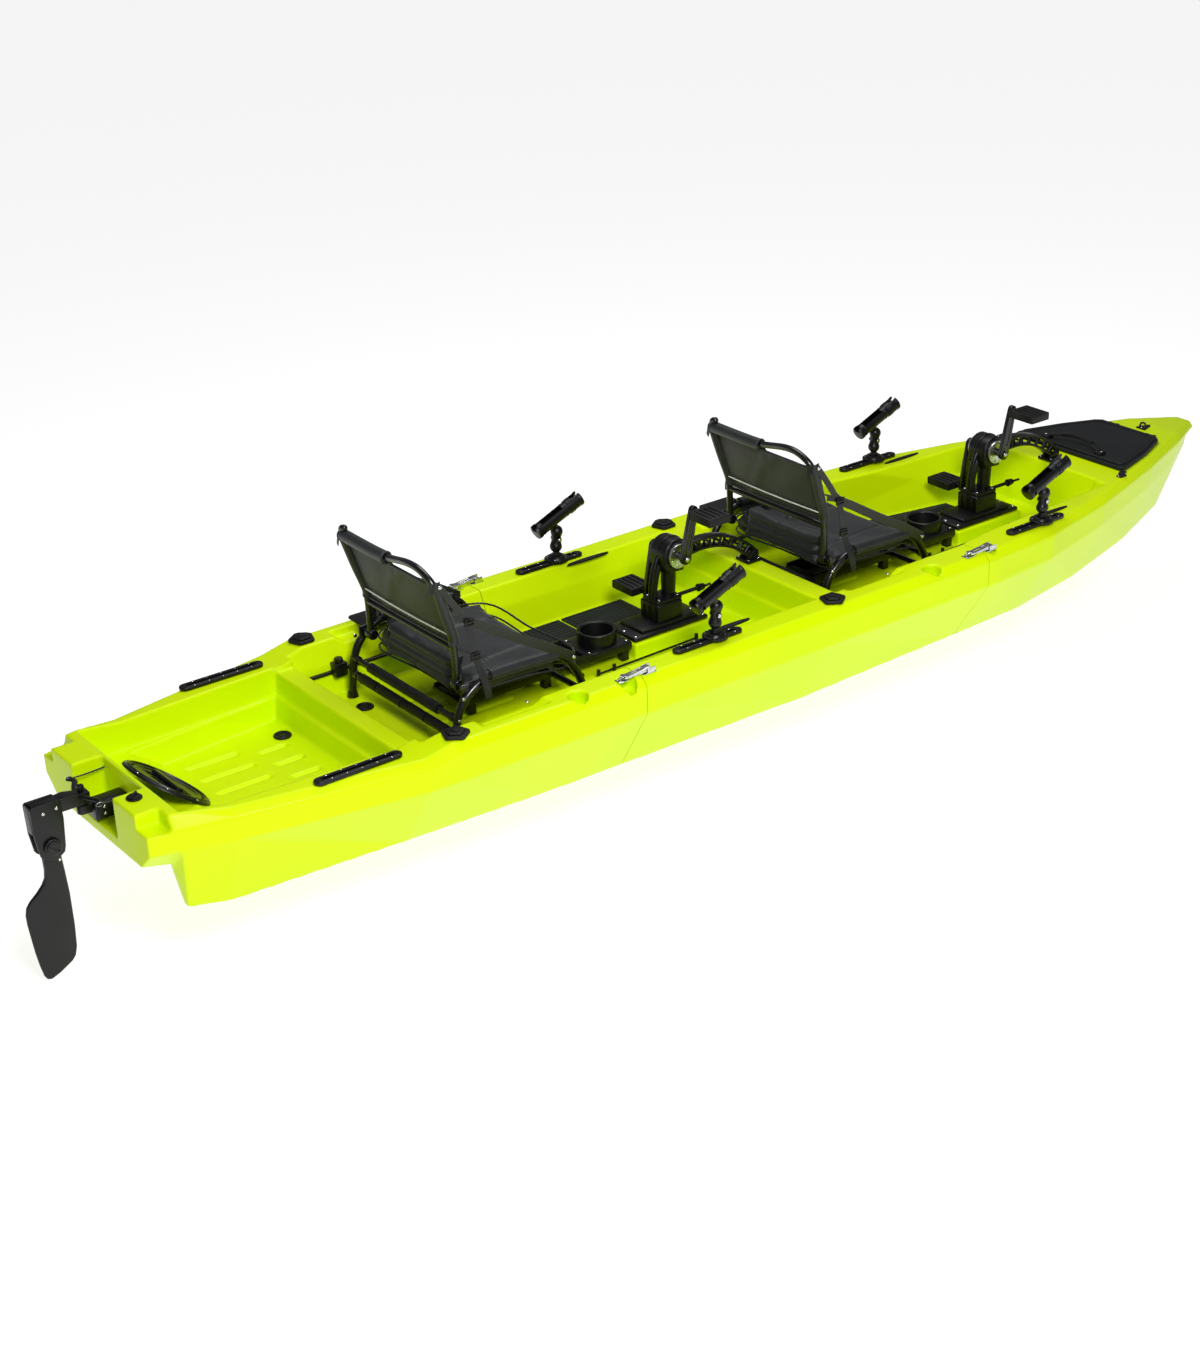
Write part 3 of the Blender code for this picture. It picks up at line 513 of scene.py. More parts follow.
# the cockpit wall crease, the dips beside each seat, the latch recesses and the
# floor channels under the seats
def cockpitDetail(body):
    cut(body, addTub("aftCrease", 0.226, 0.340, (-1.258, 0.026), (-1.268, 0.036),
                     (0.301, 0.301), (0.3530, 0.3530)))
    cut(body, addTub("foreCrease", 0.226, 0.340, (0.108, 1.270), (0.098, 1.285),
                     (0.301, 0.232), (0.3530, 0.284)))
    for shift, outer in ((0, 0.376), (stations["front"], 0.352)):
        for side in (1, -1):
            inner = 0.290 if shift == 0 else 0.270
            y0, y1 = sorted((side * inner, side * outer))
            dip = addTub("dip", 0.279, 0.340, (-1.085 + shift, -0.925 + shift),
                         (-1.165 + shift, -0.845 + shift), (1, 1), (1, 1))
            for vert in dip.data.vertices:
                vert.co.y = y1 if vert.co.y > 0 else y0
            cut(body, dip)
    for x, y, radius, low in ((seams["aft"] - 0.045, 0.404, 0.026, 0.262),
                              (seams["fwd"] + 0.032, 0.392, 0.022, 0.280)):
        for side in (1, -1):
            cut(body, addRound("recess", (x, side * y, low), (x, side * y, 0.36), radius, 24))
    for shift in stations.values():
        for y in (-0.125, -0.045, 0.045, 0.125):
            cut(body, grooveTool(-1.050 + shift, -0.800 + shift, y, floorZ))


def skin(body):
    focus(body)
    body.data.remesh_voxel_size = hull["voxel"]
    body.data.use_remesh_preserve_volume = False
    bpy.ops.object.voxel_remesh()
    modify(body, "SMOOTH", factor=0.5, iterations=hull["softening"])
    modify(body, "DECIMATE", ratio=hull["keep"])
    return body


def partAt(body, name, low, high):
    section = copyOf(body, name)
    focus(section)
    for x, normal in ((low, (-1, 0, 0)), (high, (1, 0, 0))):
        bpy.ops.object.mode_set(mode="EDIT")
        bpy.ops.mesh.select_all(action="SELECT")
        bpy.ops.mesh.bisect(plane_co=(x, 0, 0), plane_no=normal, use_fill=True, clear_outer=True)
        bpy.ops.object.mode_set(mode="OBJECT")
    return section


def buildHull():
    pieces = {node: cadCopy(node, node + "Base") for node in ("stern_hull", "middle_hull", "bow_hull")}
    stretchSeam(pieces["stern_hull"], seams["aft"], 2 * mm)
    stretchSeam(pieces["middle_hull"], seams["fwd"], 2 * mm)
    body = weld(pieces["stern_hull"], pieces["middle_hull"], pieces["bow_hull"])
    body.name = "hullBody"
    tankWellDetail(body)
    cockpitDetail(body)
    skin(body)
    half = hull["seam"] / 2
    spans = {"stern": (-3, seams["aft"] - half), "middle": (seams["aft"] + half, seams["fwd"] - half),
             "bow": (seams["fwd"] + half, 3)}
    for part, (low, high) in spans.items():
        section = partAt(body, part + "_hull_shell", low, high)
        settle(section, "hull", polyethylene, "hull", part + "_hull", angle=50)
        print(part, "hull section:", len(section.data.polygons), "faces")
    bpy.data.objects.remove(body, do_unlink=True)


buildHull()

# Seats: two bent hoops and cross bars, a slung cushion, a folding back with a sewn cover
seat = {"hoop": 11 * mm, "bar": 9 * mm, "backTube": 9.5 * mm, "halfWidth": 0.250,
        "voxel": 6 * mm, "pressure": 4.0, "cushionSwell": 9 * mm, "rollSwell": 7 * mm,
        "seamWidth": 6 * mm, "seamDepth": 5 * mm, "strap": 27 * mm, "backHalf": 0.206}


# blows a closed form up with cloth pressure, each point moving no further than the cap
def puff(obj, pressure, cap):
    focus(obj)
    obj.data.remesh_voxel_size = seat["voxel"]
    bpy.ops.object.voxel_remesh()
    rest = [vert.co.copy() for vert in obj.data.vertices]
    cloth = obj.modifiers.new("cloth", "CLOTH")
    cloth.settings.use_pressure = True
    cloth.settings.uniform_pressure_force = pressure
    cloth.settings.effector_weights.gravity = 0
    cloth.point_cache.frame_start = 1
    cloth.point_cache.frame_end = 20
    for step in range(1, 21):
        bpy.context.scene.frame_set(step)
    blown = obj.evaluated_get(bpy.context.evaluated_depsgraph_get())
    moved = [vert.co.copy() for vert in blown.data.vertices]
    obj.modifiers.remove(cloth)
    for vert, start, end in zip(obj.data.vertices, rest, moved):
        shift = end - start
        vert.co = start + shift * min(1, cap / max(shift.length, 1e-9))
    bpy.context.scene.frame_set(1)
    modify(obj, "SMOOTH", factor=0.5, iterations=2)
    return obj


# presses a stitched channel where the distance function is near zero
def sewChannel(obj, distance, width, depth, facing):
    for vert in obj.data.vertices:
        if vert.normal.dot(Vector(facing)) > 0.25:
            near = distance(vert.co) / width
            vert.co -= Vector(facing) * depth * math.exp(-near * near)


def buildSeatFrame():
    hoopLine = [(-1.120, 0.157), (-1.100, 0.300), (-1.020, 0.360), (-0.770, 0.353),
                (-0.712, 0.260), (-0.700, 0.157)]
    tubes = []
    for sign in (1, -1):
        path = bentPath([(x, sign * seat["halfWidth"], z) for x, z in hoopLine], 0.055, 7)
        tubes.append(addTube("rear_hoop", path, seat["hoop"], 16))
        for x in (-1.1185, -0.7015):
            tubes.append(addRound("foot", (x, sign * 0.250, 0.1565), (x, sign * 0.250, 0.172),
                                  0.0165, 20, 0.013))
    for x, z in ((-1.1110, 0.223), (-1.1045, 0.266), (-0.7126, 0.266), (-0.7085, 0.223)):
        tubes.append(addTube("bar", [(x, -0.250, z), (x, 0.250, z)], seat["bar"], 14))
        for y in (-0.230, 0.230):
            tubes.append(addRound("weldCollar", (x, y - 0.008, z), (x, y + 0.008, z), 0.0115, 16))
    frameTubes = gather(*tubes)
    frameTubes.name = "rear_seat_frame_tubes"
    spread(frameTubes, "hull", powderCoat, "seat_tube", "rear_seat_frame", angle=50)

    grips = []
    for y0, y1 in ((-0.205, -0.120), (-0.112, -0.006), (0.004, 0.118), (0.126, 0.205)):
        grips.append(addTube("grip", smoothPath([(-1.1110, y0, 0.223), (-1.1110, y1, 0.223)], 4),
                             0.0135, 14))
    for x, z in ((-1.1045, 0.266), (-0.7126, 0.266)):
        grips.append(addTube("grip", [(x, -0.165, z), (x, 0.165, z)], 0.0140, 14))
    grips = roundEdges(gather(*grips), 0.002)
    grips.name = "rear_bar_sleeves"
    spread(grips, "hull", rubber, "rubber")


def buildCushion():
    cushion = addBox("rear_cushion_cover", (-1.040, -0.222, 0.298), (-0.712, 0.222, 0.326))
    focus(cushion)
    bpy.ops.object.mode_set(mode="EDIT")
    bpy.ops.mesh.select_all(action="SELECT")
    bpy.ops.mesh.subdivide(number_cuts=7)
    bpy.ops.object.mode_set(mode="OBJECT")
    for vert in cushion.data.vertices:              # slung: drawn in between corners, low middle
        x, y, z = vert.co
        along = (x + 0.876) / 0.164
        vert.co.y = y * (1 - 0.030 * (1 - along * along))
        vert.co.x += 0.010 * (1 - (y / 0.222) ** 2) * (-along)
        vert.co.z += 0.012 * (abs(y) / 0.222) ** 3 - 0.004
        if along > 0.7:
            vert.co.z -= 0.012 * (along - 0.7) / 0.3
    puff(cushion, seat["pressure"], seat["cushionSwell"])
    width, depth = seat["seamWidth"], seat["seamDepth"]
    sideSeam = lambda co: abs(abs(co.y) - 0.128 + 0.030 * (co.x + 1.04) / 0.33)
    sewChannel(cushion, sideSeam, width, depth, (0, 0, 1))
    inner = lambda co: 1.0 if abs(co.y) > 0.125 else abs(co.x + 0.945 - 0.25 * abs(co.y))
    sewChannel(cushion, inner, width, depth, (0, 0, 1))
    sewChannel(cushion, lambda co: abs(abs(co.y) - 0.196), width * 0.8, depth * 0.7, (0, 0, 1))
    modify(cushion, "SUBSURF", levels=1, render_levels=1)
    for made in spread(cushion, "hull", seatFabric, "seat_fabric", "rear_seat_cushion", angle=80):
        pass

    piping = []
    for z, grow in ((0.334, 0.004), (0.301, 0.004)):
        ring = [(-1.046 - grow, -0.205, z), (-0.876, -0.2175 - grow, z + 0.004),
                (-0.706 + grow, -0.205, z - 0.012),
                (-0.704 + grow, 0, z - 0.014), (-0.706 + grow, 0.205, z - 0.012),
                (-0.876, 0.2175 + grow, z + 0.004), (-1.046 - grow, 0.205, z), (-1.044 - grow, 0, z - 0.002)]
        piping.append(addTube("piping", smoothPath(ring + ring[:1], 6), 0.0028, 8))
    piping = gather(*piping)
    piping.name = "rear_cushion_piping"
    spread(piping, "hull", webbing, "seat_fabric", angle=60)

    # sleeves of the same cloth carry the cushion on the hoops
    sleeves = []
    for sign in (1, -1):
        y = sign * seat["halfWidth"]
        path = smoothPath([(-1.000, y, 0.3600), (-0.930, y, 0.3590), (-0.860, y, 0.3565),
                           (-0.792, y, 0.3540)], 5)
        sleeves.append(addTube("sleeve", path, 0.0152, 20))
        skirt = [(x, sign * 0.2495, z) for x, z in ((-1.000, 0.347), (-0.930, 0.345), (-0.860, 0.343),
                                                   (-0.792, 0.340))]
        sleeves.append(addBand("skirt", skirt, 0.046, (0, sign * 0.55, 0.84), None, 0.003))
        for vert in sleeves[-1].data.vertices:
            vert.co.y -= sign * 0.0125
            vert.co.z -= 0.010
    sleeves = gather(*sleeves)
    sleeves.name = "rear_cushion_sleeves"
    spread(sleeves, "hull", seatFabric, "seat_fabric", angle=60)


def buildLumbarRoll():
    roll = addBox("rear_lumbar_roll", (-1.060, -0.160, 0.300), (-1.022, 0.160, 0.384))
    focus(roll)
    bpy.ops.object.mode_set(mode="EDIT")
    bpy.ops.mesh.select_all(action="SELECT")
    bpy.ops.mesh.subdivide(number_cuts=5)
    bpy.ops.object.mode_set(mode="OBJECT")
    for vert in roll.data.vertices:                 # leans forward as it rises
        vert.co.x += (vert.co.z - 0.300) * 0.18
        vert.co.y *= 1 - 0.06 * (vert.co.z - 0.300) / 0.084
    puff(roll, seat["pressure"], seat["rollSwell"])
    for level in (0.326, 0.354):
        sewChannel(roll, lambda co: abs(co.z - level), 0.007, 0.007, (-1, 0, 0))
        sewChannel(roll, lambda co: abs(co.z - level), 0.007, 0.005, (1, 0, 0))
    modify(roll, "SUBSURF", levels=1, render_levels=1)
    for made in spread(roll, "hull", seatFabric, "seat_fabric", angle=80):
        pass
    wings = []
    for sign in (1, -1):                            # thin cloth ears join the roll to the hoops
        ear = addPlate("ear", [(sign * 0.155, 0.300), (sign * 0.196, 0.306), (sign * 0.188, 0.345),
                               (sign * 0.160, 0.372)], -1.046, -1.043, "X")
        wings.append(ear)
    wings = roundEdges(gather(*wings), 0.001)
    wings.name = "rear_roll_ears"
    spread(wings, "hull", seatFabric, "seat_fabric")


# x of the folded-back cover's plane at a height
def backX(z):
    return -1.072 - max(0.0, z - 0.465) * 0.294


def buildBackTube():
    half = seat["backHalf"]
    path = [(-1.070, -half, 0.340), (-1.072, -half, 0.465), (-1.122, -0.219, 0.628),
            (-1.131, -0.165, 0.661), (-1.131, -0.110, 0.662), (-1.126, -0.045, 0.648),
            (-1.124, 0.010, 0.638), (-1.124, 0.110, 0.637), (-1.124, 0.206, 0.637)]
    tubes = [addTube("rear_back_tube", bentPath(path, 0.050, 6), seat["backTube"], 16)]
    port = [(-1.070, half, 0.340), (-1.072, half, 0.465), (-1.122, 0.217, 0.630),
            (-1.129, 0.212, 0.658), (-1.127, 0.200, 0.661)]
    tubes.append(addTube("portTube", bentPath(port, 0.040, 6), seat["backTube"], 16))
    tubes.append(addBall("hornEnd", (-1.127, 0.200, 0.661), seat["backTube"], 16, 10))
    tubes.append(addTube("cross", [(-1.0716, -half, 0.437), (-1.0716, half, 0.437)], 0.008, 12))
    for sign in (1, -1):
        eye = addRound("pivotEye", (-1.070, sign * (half + 0.013), 0.341),
                       (-1.070, sign * (half - 0.013), 0.341), 0.0145, 24)
        tubes.append(roundEdges(eye, 0.002))
    tubes = gather(*tubes)
    tubes.name = "rear_back_tubes"
    spread(tubes, "rear_seat_back", powderCoat, "seat_tube", "rear_back_frame", angle=50)


def buildBackCover():
    bpy.ops.object.select_all(action="DESELECT")
    bpy.ops.mesh.primitive_grid_add(x_subdivisions=56, y_subdivisions=34, size=2)
    cover = bpy.context.object
    for vert in cover.data.vertices:
        u, v = vert.co.x, (vert.co.y + 1) / 2
        top = 0.637 if u > 0.02 else 0.616 + 0.010 * math.exp(-((u + 1) / 0.16) ** 2)
        top += 0.021 * max(0.0, min(1.0, (u + 0.06) / 0.08)) if u <= 0.02 else 0
        z = 0.452 + (top - 0.452) * v
        half = 0.206 + max(0.0, z - 0.465) * 0.078
        bow = (1 - u * u)
        puffed = 0.016 * bow * math.sin(math.pi * v) ** 0.8
        drape = 0.0035 * math.sin(5.2 * u + 3.0 * v) * bow * math.sin(math.pi * v)
        crease = 0.004 * math.exp(-((u - 0.55 + 0.75 * v) / 0.10) ** 2) * bow
        vert.co = (backX(z) + 0.004 - puffed * 0.4 + drape - crease, u * half, z)
    nameIt("rear_back_cover")
    modify(cover, "SOLIDIFY", thickness=0.006, offset=0)
    roundEdges(cover, 0.0018, 2, 60)
    for made in spread(cover, "rear_seat_back", backMesh, "seat_fabric", "rear_back_panel", angle=60):
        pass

    half = seat["backHalf"]
    sleeves = []
    for sign in (1, -1):
        top = 0.622 if sign < 0 else 0.630
        side = [(-1.0715, sign * half, 0.452), (-1.0725, sign * (half + 0.0005), 0.475),
                (backX(0.55), sign * (half + 0.0066), 0.55), (backX(top), sign * 0.2185, top)]
        sleeves.append(addTube("sideSleeve", smoothPath(side, 8), 0.0136, 18))
    sleeves.append(addTube("topSleeve", smoothPath([(-1.124, 0.216, 0.638), (-1.125, 0.150, 0.6375),
                                                    (-1.125, 0.070, 0.6370), (-1.124, 0.004, 0.6375)],
                                                   7), 0.0168, 20))
    for y in (0.216, 0.004):
        sleeves.append(addRing("sleeveHem", (-1.124, y, 0.6377), 0.0148, 0.0032, (0, 1, 0), 28, 8))
    hem = [(backX(0.452) + 0.002, u * half, 0.4525 - 0.003 * (1 - (u * u))) for u in
           (-1, -0.6, -0.2, 0.2, 0.6, 1)]
    sleeves.append(addTube("bottomHem", smoothPath(hem, 5), 0.0056, 10))
    scoop = [(backX(0.616) + 0.002, y, 0.6165 if y > -0.19 else 0.624) for y in
             (-0.005, -0.06, -0.12, -0.17, -0.207)]
    sleeves.append(addTube("topHem", smoothPath(scoop, 5), 0.0048, 10))
    sleeves = gather(*sleeves)
    sleeves.name = "rear_back_sleeves"
    spread(sleeves, "rear_seat_back", seatFabric, "seat_fabric", angle=60)

    line = [(backX(0.479) - 0.0045 - 0.006 * (1 - u * u), u * 0.2035, 0.4785) for u in
            (-1, -0.75, -0.5, -0.25, 0, 0.25, 0.5, 0.75, 1)]
    trim = addTube("rear_back_piping", smoothPath(line, 4), 0.0021, 8)
    spread(trim, "rear_seat_back", reflective, "seat_fabric", angle=60)


def buildStraps():
    upper = smoothPath([(-1.121, -0.2345, 0.630), (-1.100, -0.238, 0.598), (-1.072, -0.238, 0.556),
                        (-1.048, -0.238, 0.521), (-1.000, -0.243, 0.492), (-0.910, -0.252, 0.437),
                        (-0.815, -0.262, 0.382), (-0.747, -0.2655, 0.338)], 5)
    main = addBand("rear_brace_strap_port", upper, seat["strap"], (0, -0.25, 1), (0.35, -0.2, 1))
    for vert in main.data.vertices:
        vert.co.y *= -1
    main.data.flip_normals()
    for made in spread(main, "", webbing, "seat_fabric", across=True):
        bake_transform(made)

    loose = [addBand("rear_strap_tail_port", smoothPath(
        [(-1.046, 0.2400, 0.512), (-1.040, 0.2455, 0.470), (-1.037, 0.2490, 0.425),
         (-1.030, 0.2580, 0.385), (-1.024, 0.2720, 0.345), (-1.021, 0.2760, 0.310)], 5),
        0.020, (1, 0, 0.05))]
    loose.append(addBand("tie", smoothPath([(-1.076, 0.222, 0.528), (-1.062, 0.232, 0.526),
                                            (-1.046, 0.2395, 0.520)], 4), 0.018, (0, 0, 1)))
    loose.append(addBand("cuff", smoothPath([(-1.138, 0.215, 0.622), (-1.132, 0.231, 0.628),
                                             (-1.119, 0.2345, 0.632)], 4), 0.026, (0.2, 0, 1)))
    tails = gather(*loose)
    spread(tails, "rear_seat_back", webbing, "seat_fabric", across=True)

    parts = []
    for x, y, z in ((-1.0435, 0.2415, 0.516), (-1.037, 0.2505, 0.424)):
        frameBox = addBox("ladderLock", (x - 0.0140, y - 0.0030, z - 0.0100),
                          (x + 0.0140, y + 0.0035, z + 0.0100))
        for at in (-0.0045, 0.0045):
            cut(frameBox, addBox("slit", (x - 0.0105, y - 0.01, z + at - 0.0022),
                                 (x + 0.0105, y + 0.01, z + at + 0.0022)))
        parts.append(roundEdges(frameBox, 0.0009, 2))
    locks = gather(*parts)
    locks.name = "rear_strap_locks_port"
    spread(locks, "rear_seat_back", nylon, "black_plastic", across=True)


# low domed rivet heads and bolt caps, all on one axis
def studs(name, places, radius, axis):
    heads = []
    for place in places:
        head = addBall("head", (0, 0, 0), radius, 20, 12)
        for vert in head.data.vertices:
            vert.co.z *= 0.45
            if vert.co.z < 0:
                vert.co.z *= 0.3
        turn = Vector((0, 0, 1)).rotation_difference(Vector(axis)).to_matrix().to_4x4()
        head.data.transform(Matrix.Translation(Vector(place)) @ turn)
        heads.append(head)
    heads = gather(*heads) if len(heads) > 1 else heads[0]
    heads.name = name
    return heads


def buildSeatRivets():
    spread(studs("rear_back_rivets_port", [(-1.1185, 0.2370, 0.630), (-1.070, 0.2205, 0.341)],
                 0.0062, (0, 1, 0)), "rear_seat_back", stainless, "stainless", across=True)
    spread(studs("rear_hoop_rivets_port", [(-0.7475, 0.2680, 0.338), (-1.088, 0.2620, 0.322),
                                           (-1.1110, 0.2620, 0.223), (-1.1045, 0.2620, 0.266)],
                 0.0058, (0, 1, 0)), "hull", stainless, "stainless", across=True)
    collars = []
    for x0, x1 in ((-1.014, -1.000), (-0.792, -0.780)):
        z = 0.3600 if x0 < -0.9 else 0.3535
        collars.append(addRound("collar", (x0, 0.250, z), (x1, 0.250, z), 0.0128, 20))
    collars = roundEdges(gather(*collars), 0.0012)
    collars.name = "rear_sleeve_collars_port"
    spread(collars, "hull", nylon, "black_plastic", across=True)
    link = []
    for sign in (1, -1):
        link.append(addRound("pivotSpacer", (-1.070, sign * 0.219, 0.341), (-1.070, sign * 0.2395, 0.341),
                             0.0072, 16))
        link.append(roundEdges(addBox("lug", (-1.086, sign * 0.2445 - 0.004, 0.318),
                                      (-1.056, sign * 0.2445 + 0.004, 0.354)), 0.003))
    link = gather(*link)
    link.name = "rear_pivot_lugs"
    spread(link, "hull", powderCoat, "seat_tube")


buildSeatFrame()
buildCushion()
buildLumbarRoll()
buildBackTube()
buildBackCover()
buildStraps()
buildSeatRivets()
print("seats built")


# Pedal drives: flange and clamp block, two posts, a rounded gearbox, the ladder arch
drive = {"axle": (-0.215, 0.405), "lean": 13, "reach": 0.140, "arc": (-0.110, 0.150),
         "outer": 0.272, "inner": 0.236, "arcSpan": (100.5, 41), "rungs": 7, "flange": 0.2003,
         "hub": (-0.320, -0.100), "bladeTip": 0.088, "bladeTwist": 32}


def buildGearbox():
    x, z = drive["axle"]
    base = drive["flange"]
    flange = roundEdges(addBox("rear_drive_case", (-0.396, -0.066, base), (-0.134, 0.066, base + 0.013)),
                        0.006, 3)
    lip = roundEdges(addBox("lip", (-0.360, -0.052, base + 0.010), (-0.160, 0.052, base + 0.022)),
                     0.004, 3)
    clamp = roundEdges(addBox("clamp", (-0.294, -0.042, base + 0.012), (-0.206, 0.042, 0.274)),
                       0.006, 3)
    collar = roundEdges(addBox("collar", (-0.290, -0.036, 0.270), (-0.202, 0.036, 0.284)), 0.005, 3)
    ribs = [roundEdges(addBox("rib", (-0.297, y - 0.003, base + 0.016), (-0.203, y + 0.003, 0.266)),
                       0.0015, 2) for y in (-0.024, 0.0, 0.024)]
    body = gather(flange, lip, clamp, collar, *ribs)

    front = addRound("frontPost", (-0.2245, 0, 0.276), (-0.2215, 0, 0.372), 0.0195, 28, 0.0225)
    aft = addTube("aftPost", smoothPath([(-0.2760, 0, 0.276), (-0.2720, 0, 0.320), (-0.2620, 0, 0.360),
                                         (-0.2480, 0, 0.388)], 5), 0.0095, 18)
    back = addTube("backWeb", smoothPath([(-0.2870, 0, 0.276), (-0.2830, 0, 0.330),
                                          (-0.2700, 0, 0.378), (-0.2500, 0, 0.412)], 5), 0.0075, 16)
    head = [(x + u, z + v) for u, v in arc((0, 0), 0.047, -60, 195, 18)]
    head += [(x - 0.046, z - 0.030), (x - 0.030, z - 0.048), (x + 0.022, z - 0.050)]
    shell = roundEdges(addPlate("head", head, -0.035, 0.035, "Y"), 0.011, 4, 40)
    crown = [(x + u, z + v) for u, v in arc((0, 0), 0.0495, 20, 160, 14)]
    crown += [(x + u, z + v) for u, v in arc((0, 0), 0.041, 160, 20, 14)]
    seamRib = roundEdges(addPlate("seamRib", crown, -0.004, 0.004, "Y"), 0.001)
    neck = roundEdges(addBox("neck", (x - 0.035, -0.026, 0.350), (x + 0.024, 0.026, 0.385)), 0.010, 4)
    boss = roundEdges(addRound("boss", (x, -0.0385, z), (x, 0.0385, z), 0.0385, 40), 0.002)
    body = gather(body, front, aft, back, shell, seamRib, neck, boss)
    body.name = "rear_drive_case"
    spread(body, "rear_drive", nylon, "black_plastic", "rear_drive_housing", angle=40)

    disc = addRound("rear_drive_disc", (x, -0.0455, z), (x, -0.0365, z), 0.0355, 48)
    pickFaces(disc, lambda centre, normal: normal.y < -0.9)
    for thickness, depth in ((0.0045, -0.0012), (0.0100, 0.0018), (0.0060, -0.0022)):
        bpy.ops.mesh.inset(thickness=thickness, depth=depth)
    leaveEdit()
    roundEdges(disc, 0.0008, 2, 40)
    farDisc = copyOf(disc, "farDisc", (0, 0, 0), True)
    discs = gather(disc, farDisc)
    discs.name = "rear_drive_discs"
    spread(discs, "rear_drive", machined, "stainless")
    spots = [(x + u, s * 0.0462, z + v) for s in (-1, 1)
             for u, v in arc((0, 0), 0.0285, 15, 315, 6)]
    screws = gather(*[studs("screw", [spot], 0.0034, (0, math.copysign(1, spot[1]), 0))
                      for spot in spots])
    screws.name = "rear_drive_screws"
    spread(screws, "rear_drive", stainless, "stainless")

    # wing knob that locks the drive in its slot
    shaft = addRound("knobShaft", (-0.206, 0, 0.268), (-0.118, 0, 0.268), 0.0055, 16)
    knob = addRound("knob", (-0.118, 0, 0.268), (-0.098, 0, 0.268), 0.0115, 24, 0.0090)
    wings = [roundEdges(addPlate("wing", [(-0.104, 0.268 + s * 0.006), (-0.108, 0.268 + s * 0.030),
                                          (-0.100, 0.268 + s * 0.034), (-0.090, 0.268 + s * 0.028),
                                          (-0.096, 0.268 + s * 0.004)], -0.0035, 0.0035, "Y"), 0.0014)
             for s in (1, -1)]
    knob = tilt(gather(knob, *wings), (-0.1, 0, 0.268), 62, "X")
    knob = gather(knob, shaft)
    knob.name = "rear_drive_wing_knob"
    spread(knob, "rear_drive", rubber, "rubber")

    places = [(px, py, base + 0.0132) for px in (-0.384, -0.146) for py in (-0.054, 0.054)]
    places += [(-0.384, 0.0, base + 0.0132), (-0.146, 0.0, base + 0.0132)]
    spread(studs("rear_flange_screws", places, 0.0052, (0, 0, 1)), "rear_drive", stainless,
           "stainless")
    spread(studs("rear_collar_screws", [(-0.278, -0.026, 0.2842), (-0.214, -0.026, 0.2842),
                                        (-0.278, 0.026, 0.2842), (-0.214, 0.026, 0.2842)],
                 0.0050, (0, 0, 1)), "rear_drive", stainless, "stainless")


def buildArch():
    centre = drive["arc"]
    start, end = drive["arcSpan"]
    bands = []
    for outer, inner in ((drive["outer"], drive["outer"] - 0.0075),
                         (drive["inner"] + 0.0075, drive["inner"])):
        outline = arc(centre, outer, start, end, 22) + arc(centre, inner, end, start, 22)
        bands.append(roundEdges(addPlate("band", outline, -0.0165, 0.0165, "Y"), 0.0018, 2, 40))
    for i in range(drive["rungs"] + 1):
        angle = start + (end - start) * i / drive["rungs"]
        a = arc(centre, drive["outer"] - 0.003, angle, angle, 2)[0]
        b = arc(centre, drive["inner"] + 0.003, angle, angle, 2)[0]
        for y in (-0.0125, 0.0125):
            bands.append(addRound("rung", (a[0], y, a[1]), (b[0], y, b[1]), 0.0040, 14))
        bands.append(addRound("rungPin", (sum(p[0] for p in (a, b)) / 2, -0.0150,
                                          sum(p[1] for p in (a, b)) / 2),
                              ((a[0] + b[0]) / 2, 0.0150, (a[1] + b[1]) / 2), 0.0034, 12))
    foot = roundEdges(addBox("foot", (0.045, -0.029, 0.3004), (0.096, 0.029, 0.311)), 0.004, 3)
    toe = [(0.050, 0.308), (0.093, 0.308), (0.0945, 0.322), (0.092, 0.334), (0.078, 0.336),
           (0.060, 0.322)]
    toes = [roundEdges(addPlate("toe", toe, y - 0.004, y + 0.004, "Y"), 0.0014)
            for y in (-0.0145, 0.0145)]
    arch = gather(*bands, foot, *toes)
    arch.name = "rear_ladder_arch"
    spread(arch, "rear_drive", nylon, "black_plastic", "rear_drive_arch", angle=40)
    spread(studs("rear_arch_screws", [(0.052, -0.0225, 0.3112), (0.089, -0.0225, 0.3112),
                                      (0.052, 0.0225, 0.3112), (0.089, 0.0225, 0.3112)],
                 0.0045, (0, 0, 1)), "rear_drive", stainless, "stainless")


def buildLeg():
    z = drive["hub"][1]
    foil = [(-0.256 + u, v) for u, v in
            ((-0.034, 0.0), (-0.020, 0.0062), (0.0, 0.0100), (0.020, 0.0096), (0.031, 0.0058),
             (0.034, 0.0), (0.031, -0.0058), (0.020, -0.0096), (0.0, -0.0100), (-0.020, -0.0062))]
    strut = addPlate("rear_drive_strut", foil, z, 0.1996)
    rings = [(-0.3000, 0.0185), (-0.2960, 0.0208), (-0.2150, 0.0210), (-0.2000, 0.0165),
             (-0.1900, 0.0105), (-0.1855, 0.0050)]
    pods = [addRound("podPart", (a[0], 0, z), (b[0], 0, z), a[1], 32, b[1])
            for a, b in zip(rings, rings[1:])]
    fin = roundEdges(addPlate("skeg", [(-0.286, z - 0.015), (-0.240, z - 0.015), (-0.252, z - 0.040),
                                       (-0.278, z - 0.055), (-0.285, z - 0.050)], -0.003, 0.003, "Y"),
                     0.0012)
    leg = gather(strut, *pods, fin)
    spread(leg, "rear_drive", nylon, "black_plastic", "rear_drive_leg", angle=40)


